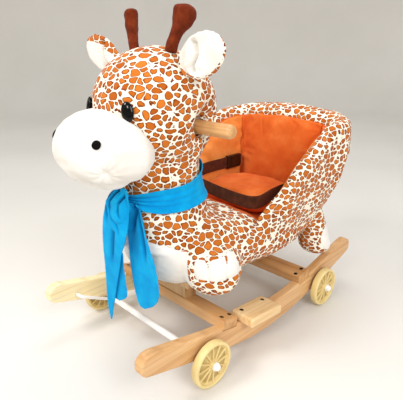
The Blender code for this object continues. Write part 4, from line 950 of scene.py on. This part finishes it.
def puff(piece, voxel, pressure, most, held):
    """Swells a closed piece with air as cloth; held picks the points that stay by their normal."""
    modify(piece, "REMESH", mode="VOXEL", voxel_size=voxel)
    settle(piece)
    start = [v.co.copy() for v in piece.data.vertices]
    fixed = [v.index for v in piece.data.vertices if held(v.normal)]
    piece.vertex_groups.new(name="held").add(fixed, 1.0, "REPLACE")
    cloth = piece.modifiers.new("cloth", "CLOTH").settings
    cloth.vertex_group_mass = "held"
    cloth.use_pressure = True
    cloth.uniform_pressure_force = pressure
    cloth.effector_weights.gravity = 0.0
    cloth.shrink_min = PUFF_SHRINK
    scene = bpy.context.scene
    for step in range(1, PUFF_STEPS + 1):
        scene.frame_set(step)
    settle(piece)
    scene.frame_set(1)
    for vertex, before in zip(piece.data.vertices, start):
        step = vertex.co - before
        if step.length > most:
            vertex.co = before + step * (most / step.length)
    piece.vertex_groups.clear()
    modify(piece, "SMOOTH", factor=0.5, iterations=2)
    settle(piece, 1)


def cushion_point(lean, turn):
    """Point of the cushion's cover: lean goes from its bottom to its top, turn round it."""
    up = 0.5 - 0.5 * cos(lean)
    plan = abs(sin(lean)) ** CUSHION_EDGE_POWER
    x = copysign(abs(cos(turn)) ** CUSHION_CORNER_POWER, cos(turn))
    y = copysign(abs(sin(turn)) ** CUSHION_CORNER_POWER, sin(turn))
    drawn = 1 - 0.03 * (cos(4 * turn) + 1) / 2 * sin(pi * up)
    crown = 1 - 0.06 * eased(up, 0.5, 1.0) * (max(abs(x), abs(y)) * plan) ** 4
    wide = CUSHION_SLACK * plan * drawn
    return Vector((wide * CUSHION_HALF[0] * x, CUSHION_MIDDLE_Y + wide * CUSHION_HALF[1] * y,
                   CUSHION_LOW + CUSHION_RISE * CUSHION_THICKNESS * up * crown))


def shape_cushion(place, normal):
    """A seam round the upper edge, and the filling's unevenness."""
    height = (place.z - CUSHION_LOW) / CUSHION_THICKNESS
    pinch = groove(height - CUSHION_SEAM, 0.045, 0.0018)
    return place + normal * (pinch + unevenness(place, 0.03, 0.0014, 2))


def build_cushion(material):
    """Crowned cushion with its sides drawn in between the corners."""
    cushion = rounded_body("cushion_cover", cushion_point, CUSHION_LEVELS, CUSHION_TURNS, material)
    puff(cushion, 0.0045, 4.0, 0.005, lambda normal: normal.z < -0.7)
    move_points(settle(cushion), shape_cushion)
    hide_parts("seat_cushion")
    return cushion


def on_wall(name, normal):
    """Whether a point of a pad lies on the wall's side, by its normal."""
    if name == "back_pad":
        return normal.y > 0.2
    return normal.x * (1 if name.startswith("left") else -1) > 0.2


def shape_pad(place, normal, name):
    """Darts in the back pad's upper edge, and the filling's unevenness."""
    lift = unevenness(place, 0.045, 0.0018, 4) + unevenness(place, 0.02, 0.0006, 9)
    if name == "back_pad":
        for x in BACK_DARTS:
            slant = place.x - x - 0.25 * (place.z - 0.38) * copysign(1, x)
            lift += groove(slant, 0.0022, 0.0022) * eased(place.z, 0.34, 0.372)
    return place + normal * lift


def build_pad(name, material):
    """A pad on a wall of the seat, swelled away from it."""
    pad = new_object(name + "_cover", NODES[name].data.copy(), material)
    puff(pad, 0.0036, 3.0, 0.004, lambda normal: on_wall(name, normal))
    move_points(pad, shape_pad, name)
    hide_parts(name)
    return pad


def belt_points():
    """Middle line of the belt's front length in plan: left back corner, front, right side."""
    half, front, corner = BELT_HALF_SPAN, BELT_FRONT_Y, BELT_CORNER
    start = front + corner
    left = [(half, start + (BELT_BACK_Y - start) * (1 - k / 9)) for k in range(10)]
    for k in range(1, 8):
        turn = pi / 2 * k / 8
        left.append((half - corner + corner * cos(turn), start - corner * sin(turn)))
    left += [(half - corner, front), (half * 0.55, front - 0.0004), (half * 0.25, front)]
    right = [(-x, y) for x, y in left[::-1] if y < SOCKET_FRONT_Y - 0.026]
    return left + right + [(-half, SOCKET_FRONT_Y - 0.015), (-half, SOCKET_FRONT_Y - 0.008)]


def belt_low(x, y):
    """Height of the belt's lower edge: higher at the back and on the buckle's side."""
    back = min(max((y - BELT_FRONT_Y) / 0.08, 0.0), 1.0)
    far = min(max((0.04 - x) / (BELT_HALF_SPAN + 0.04), 0.0), 1.0)
    return (BELT_LOW + BELT_BACK_RISE * eased(back, 0, 1)
            + BELT_FAR_RISE * eased(far, 0, 1))


# Round a strap's section: share of its width upwards and of its thickness outwards
STRAP_SECTION = ((0.0, 0.35), (0.06, 0.5), (0.5, 0.5), (0.94, 0.5), (1.0, 0.35),
                 (1.0, -0.35), (0.94, -0.5), (0.5, -0.5), (0.06, -0.5), (0.0, -0.35))


def strap_rows(points):
    """Sections of a strap along a plan line, and how far along it each lies."""
    rows, lengths, run = [], [], 0.0
    for k, (x, y) in enumerate(points):
        if k:
            run += dist(points[k - 1], points[k])
        lengths.append(run)
        ahead = Vector(points[min(k + 1, len(points) - 1)]) - Vector(points[max(k - 1, 0)])
        ahead.normalize()
        out = Vector((ahead.y, -ahead.x, 0))
        low = Vector((x, y, belt_low(x, y)))
        row = []
        for share, thick in STRAP_SECTION:
            lean = 0.001 * sin(run * 55) * (share - 0.3)
            row.append(low + Vector((0, 0, BELT_WIDTH * share))
                       + out * (BELT_THICKNESS * thick + lean))
        rows.append(row)
    return rows, lengths


def strap(name, points, material):
    """Webbing that stands on its edge along a plan line, with its UV map in metres."""
    rows, lengths = strap_rows(points)
    mesh = grid_mesh(name, rows, wrap=True, cap=True)
    layer = mesh.uv_layers.new(name="UVMap")
    for loop in mesh.loops:
        row, column = divmod(loop.vertex_index, len(STRAP_SECTION))
        layer.data[loop.index].uv = (STRAP_SECTION[column][0] * BELT_WIDTH, lengths[row])
    piece = new_object(name, mesh, material)
    return settle(piece, 2)


def build_belt(material):
    short_points = [(-BELT_HALF_SPAN, y) for y in SHORT_BELT_Y]
    for name, points, node in (("front_webbing", belt_points(), "lap_belt_long"),
                               ("short_webbing", short_points, "lap_belt_short")):
        piece = strap(name, points, material)
        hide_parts(node)
        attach(piece, "rocker")


def build_seat(orange, painted_lit_orange, webbing):
    # The side pads take the lining's orange with painted light.
    soft = [build_cushion(orange), build_pad("back_pad", orange),
            build_pad("left_side_pad", painted_lit_orange), build_pad("right_side_pad", painted_lit_orange)]
    for piece in soft:
        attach(piece, "rocker")
    build_belt(webbing)


# Wheels

# Half sections of the rim with its disc and of the hub: place along the axle and radius, in
# millimetres
RIM_SECTION = metres((
    (0, 42.5), (3, 42.4), (5.625, 42), (6.975, 41.2), (7.5, 40), (7.5, 37.7), (7.05, 36.8),
    (5.25, 36.3), (2.25, 35.7), (1.425, 34.5), (1.275, 31.5), (1.275, 9), (1.65, 7)))
HUB_SECTION = metres((
    (0, 9.2), (4.05, 9), (4.95, 8), (8.37, 7.7), (9, 7.1), (9, 4.8), (8.73, 4.4), (0, 4.4)))


def turned_rows(half, count):
    """Rings round the axle over a half section and its mirror image, back to the first."""
    section = half + tuple((-x, r) for x, r in half[::-1] if x) + half[:1]
    return [[Vector((x, r * cos(a), r * sin(a))) for a in turns(count)] for x, r in section]


def spoke_rows(turn):
    """A rib with rounded edges, through the disc to both faces."""
    outward = Vector((0, cos(turn), sin(turn)))
    across = Vector((0, -sin(turn), cos(turn)))
    inner, outer = SPOKE_ENDS
    rows = []
    for share in [k / 6 for k in range(7)]:
        middle = outward * (inner + (outer - inner) * share)
        depth = 0.006 - 0.0008 * share
        width = 0.0015 - 0.0002 * sin(pi * share)
        rows.append([middle + across * (width * cos(a))
                     + Vector((copysign(abs(sin(a)) ** 0.4, sin(a)) * depth, 0, 0))
                     for a in turns(12)])
    return rows


def wheel_material():
    """Tan moulded plastic, with painted shade in the hollows between the ribs."""
    surface = Surface("cream_plastic", 0.42)
    uneven = surface.noise(55.0, 4.0)
    face = surface.ramp(uneven, [(0.3, "#E3C988"), (0.7, "#EFD999")])
    # Painted shade: the darker tan for the hollows between the ribs
    hollow = surface.ramp(uneven, [(0.3, "#A98D52"), (0.7, "#BBA063")])
    surface.bump(surface.noise(700.0, 2.0), 0.1, 0.0002)
    return surface.done(surface.mix(surface.held("hollow"), face, hollow))


def hollow_shade_share(place, _):
    """1 on the disc between the ribs and 0 on the ribs' edges, the rim and the hub: where shade is
    painted.
    """
    depth = 1 - eased(abs(place.x), 0.0016, 0.0048)
    radius = hypot(place.y, place.z)
    return depth * eased(radius, 0.0095, 0.0115) * (1 - eased(radius, 0.0325, 0.035))


def wheel_mesh():
    turned = [turned_rows(RIM_SECTION, 80), turned_rows(HUB_SECTION, 40)]
    mesh = joined_mesh("wheel", [grid_mesh("part", rows, wrap=True) for rows in turned])
    edit(mesh, merge_seams)
    ribs = [grid_mesh("part", spoke_rows(a), wrap=True, cap=True) for a in turns(SPOKES)]
    mesh = joined_mesh("wheel", [mesh] + ribs)
    edit(mesh, face_outward)
    mesh.shade_smooth()
    mesh.set_sharp_from_angle(angle=radians(50))
    return mesh


def build_wheels(material):
    mesh = wheel_mesh()
    for end in ("front", "rear"):
        for side, _ in SIDES:
            node = "%s_%s_wheel" % (end, side)
            piece = new_object(node + "_moulding", mesh.copy(), material)
            # Where the wheel's painted shade lies
            hold_values(piece, "hollow", hollow_shade_share)
            low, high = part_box(node)
            piece.data.transform(Matrix.Translation((Vector(low) + Vector(high)) / 2))
            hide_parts(node)
            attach(piece, node + "_body")


# Materials of the CAD nodes that stay: nodes, name, axes along and across the grain, and tones
BOARDS = (
    (["left_rail"], "pine_rail", "Y", "Z", "#E9C08D", "#DFB17B", "#D19D65"),
    # Painted light: the right rail has the left rail's pine in paler tones.
    (["right_rail"], "pale_rail", "Y", "Z", "#FFF6CE", "#FFF0C0", "#F8E2A8"),
    # Painted shade: the cross bars have the rails' pine in darker tones.
    (["front_cross_bar", "rear_cross_bar"], "pine_bar", "X", "Y", "#DDB07A", "#D09E66", "#BC8750"),
    (["left_foot_rest", "right_foot_rest"], "pine_rest", "Y", "X", "#FBE0B2", "#F5D5A2", "#EAC48B"),
    (["handle_dowel"], "pine_handle", "X", "Z", "#EDC48C", "#E0B177", "#C7935A"),
    (["inner_frame"], "pine_block", "Z", "X", "#E0BC8A", "#D2AA76", "#BF945F"),
)


def paint(nodes, material):
    for name in nodes:
        for held in NODES[name].material_slots:
            held.material = material


def nodes_ending(word):
    return [name for name in NODES if name.endswith(word)]


def paint_frame():
    for nodes, *grain in BOARDS:
        paint(nodes, pine_material(*grain))
    paint(nodes_ending("_screw"), plain_material("dark_steel", "#2A2320", 0.35, Metallic=0.8))
    paint(["front_wire_frame", "rear_wire_frame"],
          plain_material("white_coat", "#F4F2EE", 0.32, spread=0.03, Coat_Weight=0.3))
    paint(nodes_ending("_hub_cap"), plain_material("white_cap", "#F6F6F4", 0.3, spread=0.03))
    paint(["buckle_socket", "buckle_tongue"],
          plain_material("buckle", "#150B08", 0.3, Coat_Weight=0.2))


# Stage, light and camera

def area_light(name, place, aim, size, power, tone):
    lamp = bpy.data.lights.new(name, "AREA")
    lamp.shape = "DISK"
    lamp.size = size
    lamp.energy = power
    lamp.color = tone
    made = add_object(name, lamp)
    made.location = place
    made.rotation_euler = (Vector(aim) - Vector(place)).to_track_quat("-Z", "Y").to_euler()


def close_middle(work):
    work.verts.ensure_lookup_table()
    work.faces.new(work.verts[:STAGE_TURNS])
    face_outward(work)


def build_stage():
    """A round pale floor that curves up into a low wall far away, on every side."""
    surface = Surface("pale_floor", 0.6)
    tone = surface.ramp(surface.noise(1.5, 3.0), [(0.3, "#E0DDD7"), (0.7, "#E7E4DF")])
    material = surface.done(tone)
    profile = [(0.02, 0.0), (0.6, 0.0), (1.4, 0.0), (STAGE_FLAT, 0.0)]
    for k in range(1, 11):
        a = pi / 2 * k / 10
        profile.append((STAGE_FLAT + STAGE_BEND * sin(a), STAGE_BEND * (1 - cos(a))))
    profile.append((STAGE_FLAT + STAGE_BEND, STAGE_HEIGHT))
    rows = [[Vector((r * cos(a), r * sin(a), z)) for a in turns(STAGE_TURNS)] for r, z in profile]
    floor = new_object("studio_floor", grid_mesh("studio_floor", rows, wrap=True), material)
    floor.data.shade_smooth()
    edit(floor.data, close_middle)
    floor.location.z = -STAGE_DROP


def build_light():
    world = bpy.data.worlds.new("soft_sky")
    world.use_nodes = True
    sky = world.node_tree.nodes["Background"].inputs
    sky["Color"].default_value = SKY_TONE
    sky["Strength"].default_value = SKY_STRENGTH
    bpy.context.scene.world = world
    for lamp in LAMPS:
        area_light(*lamp)


def build_camera():
    data = bpy.data.cameras.new("camera")
    data.sensor_fit = "HORIZONTAL"
    data.sensor_width = SENSOR_WIDTH
    data.lens = CAMERA_FOCAL / PHOTO_WIDTH * SENSOR_WIDTH
    camera = add_object("camera", data)
    camera.location = CAMERA_PLACE
    camera.rotation_euler = Euler((radians(90 - CAMERA_DOWN), 0, radians(CAMERA_TURN)))
    scene = bpy.context.scene
    scene.camera = camera
    scene.view_settings.view_transform = "Standard"


def main():
    build_camera()
    build_stage()
    build_light()
    build_skin(plush_material("skin_plush", skin_tone, 0.25, 0.04))
    black = plain_material("black_button", "#020202", 0.05, speckle=0.02, Specular_IOR_Level=0.28)
    felt = plain_material("black_felt", "#0E0C0B", 0.95, speckle=0.5, Specular_IOR_Level=0.1)
    build_face(plush_material("white_plush", white_tone, 0.35),
               plush_material("ear_plush", ear_tone, 0.3),
               plush_material("horn_plush", horn_tone, 0.4, 0.05), black, felt)
    build_scarf(fleece_material())
    # The side pads' orange is the lining's with painted light.
    build_seat(plush_material("orange_plush", orange_tone, 0.3, 0.04),
               plush_material("painted_lit_orange_plush", painted_lit_orange_tone, 0.3, 0.04),
               webbing_material())
    build_wheels(wheel_material())
    paint_frame()
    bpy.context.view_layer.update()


main()
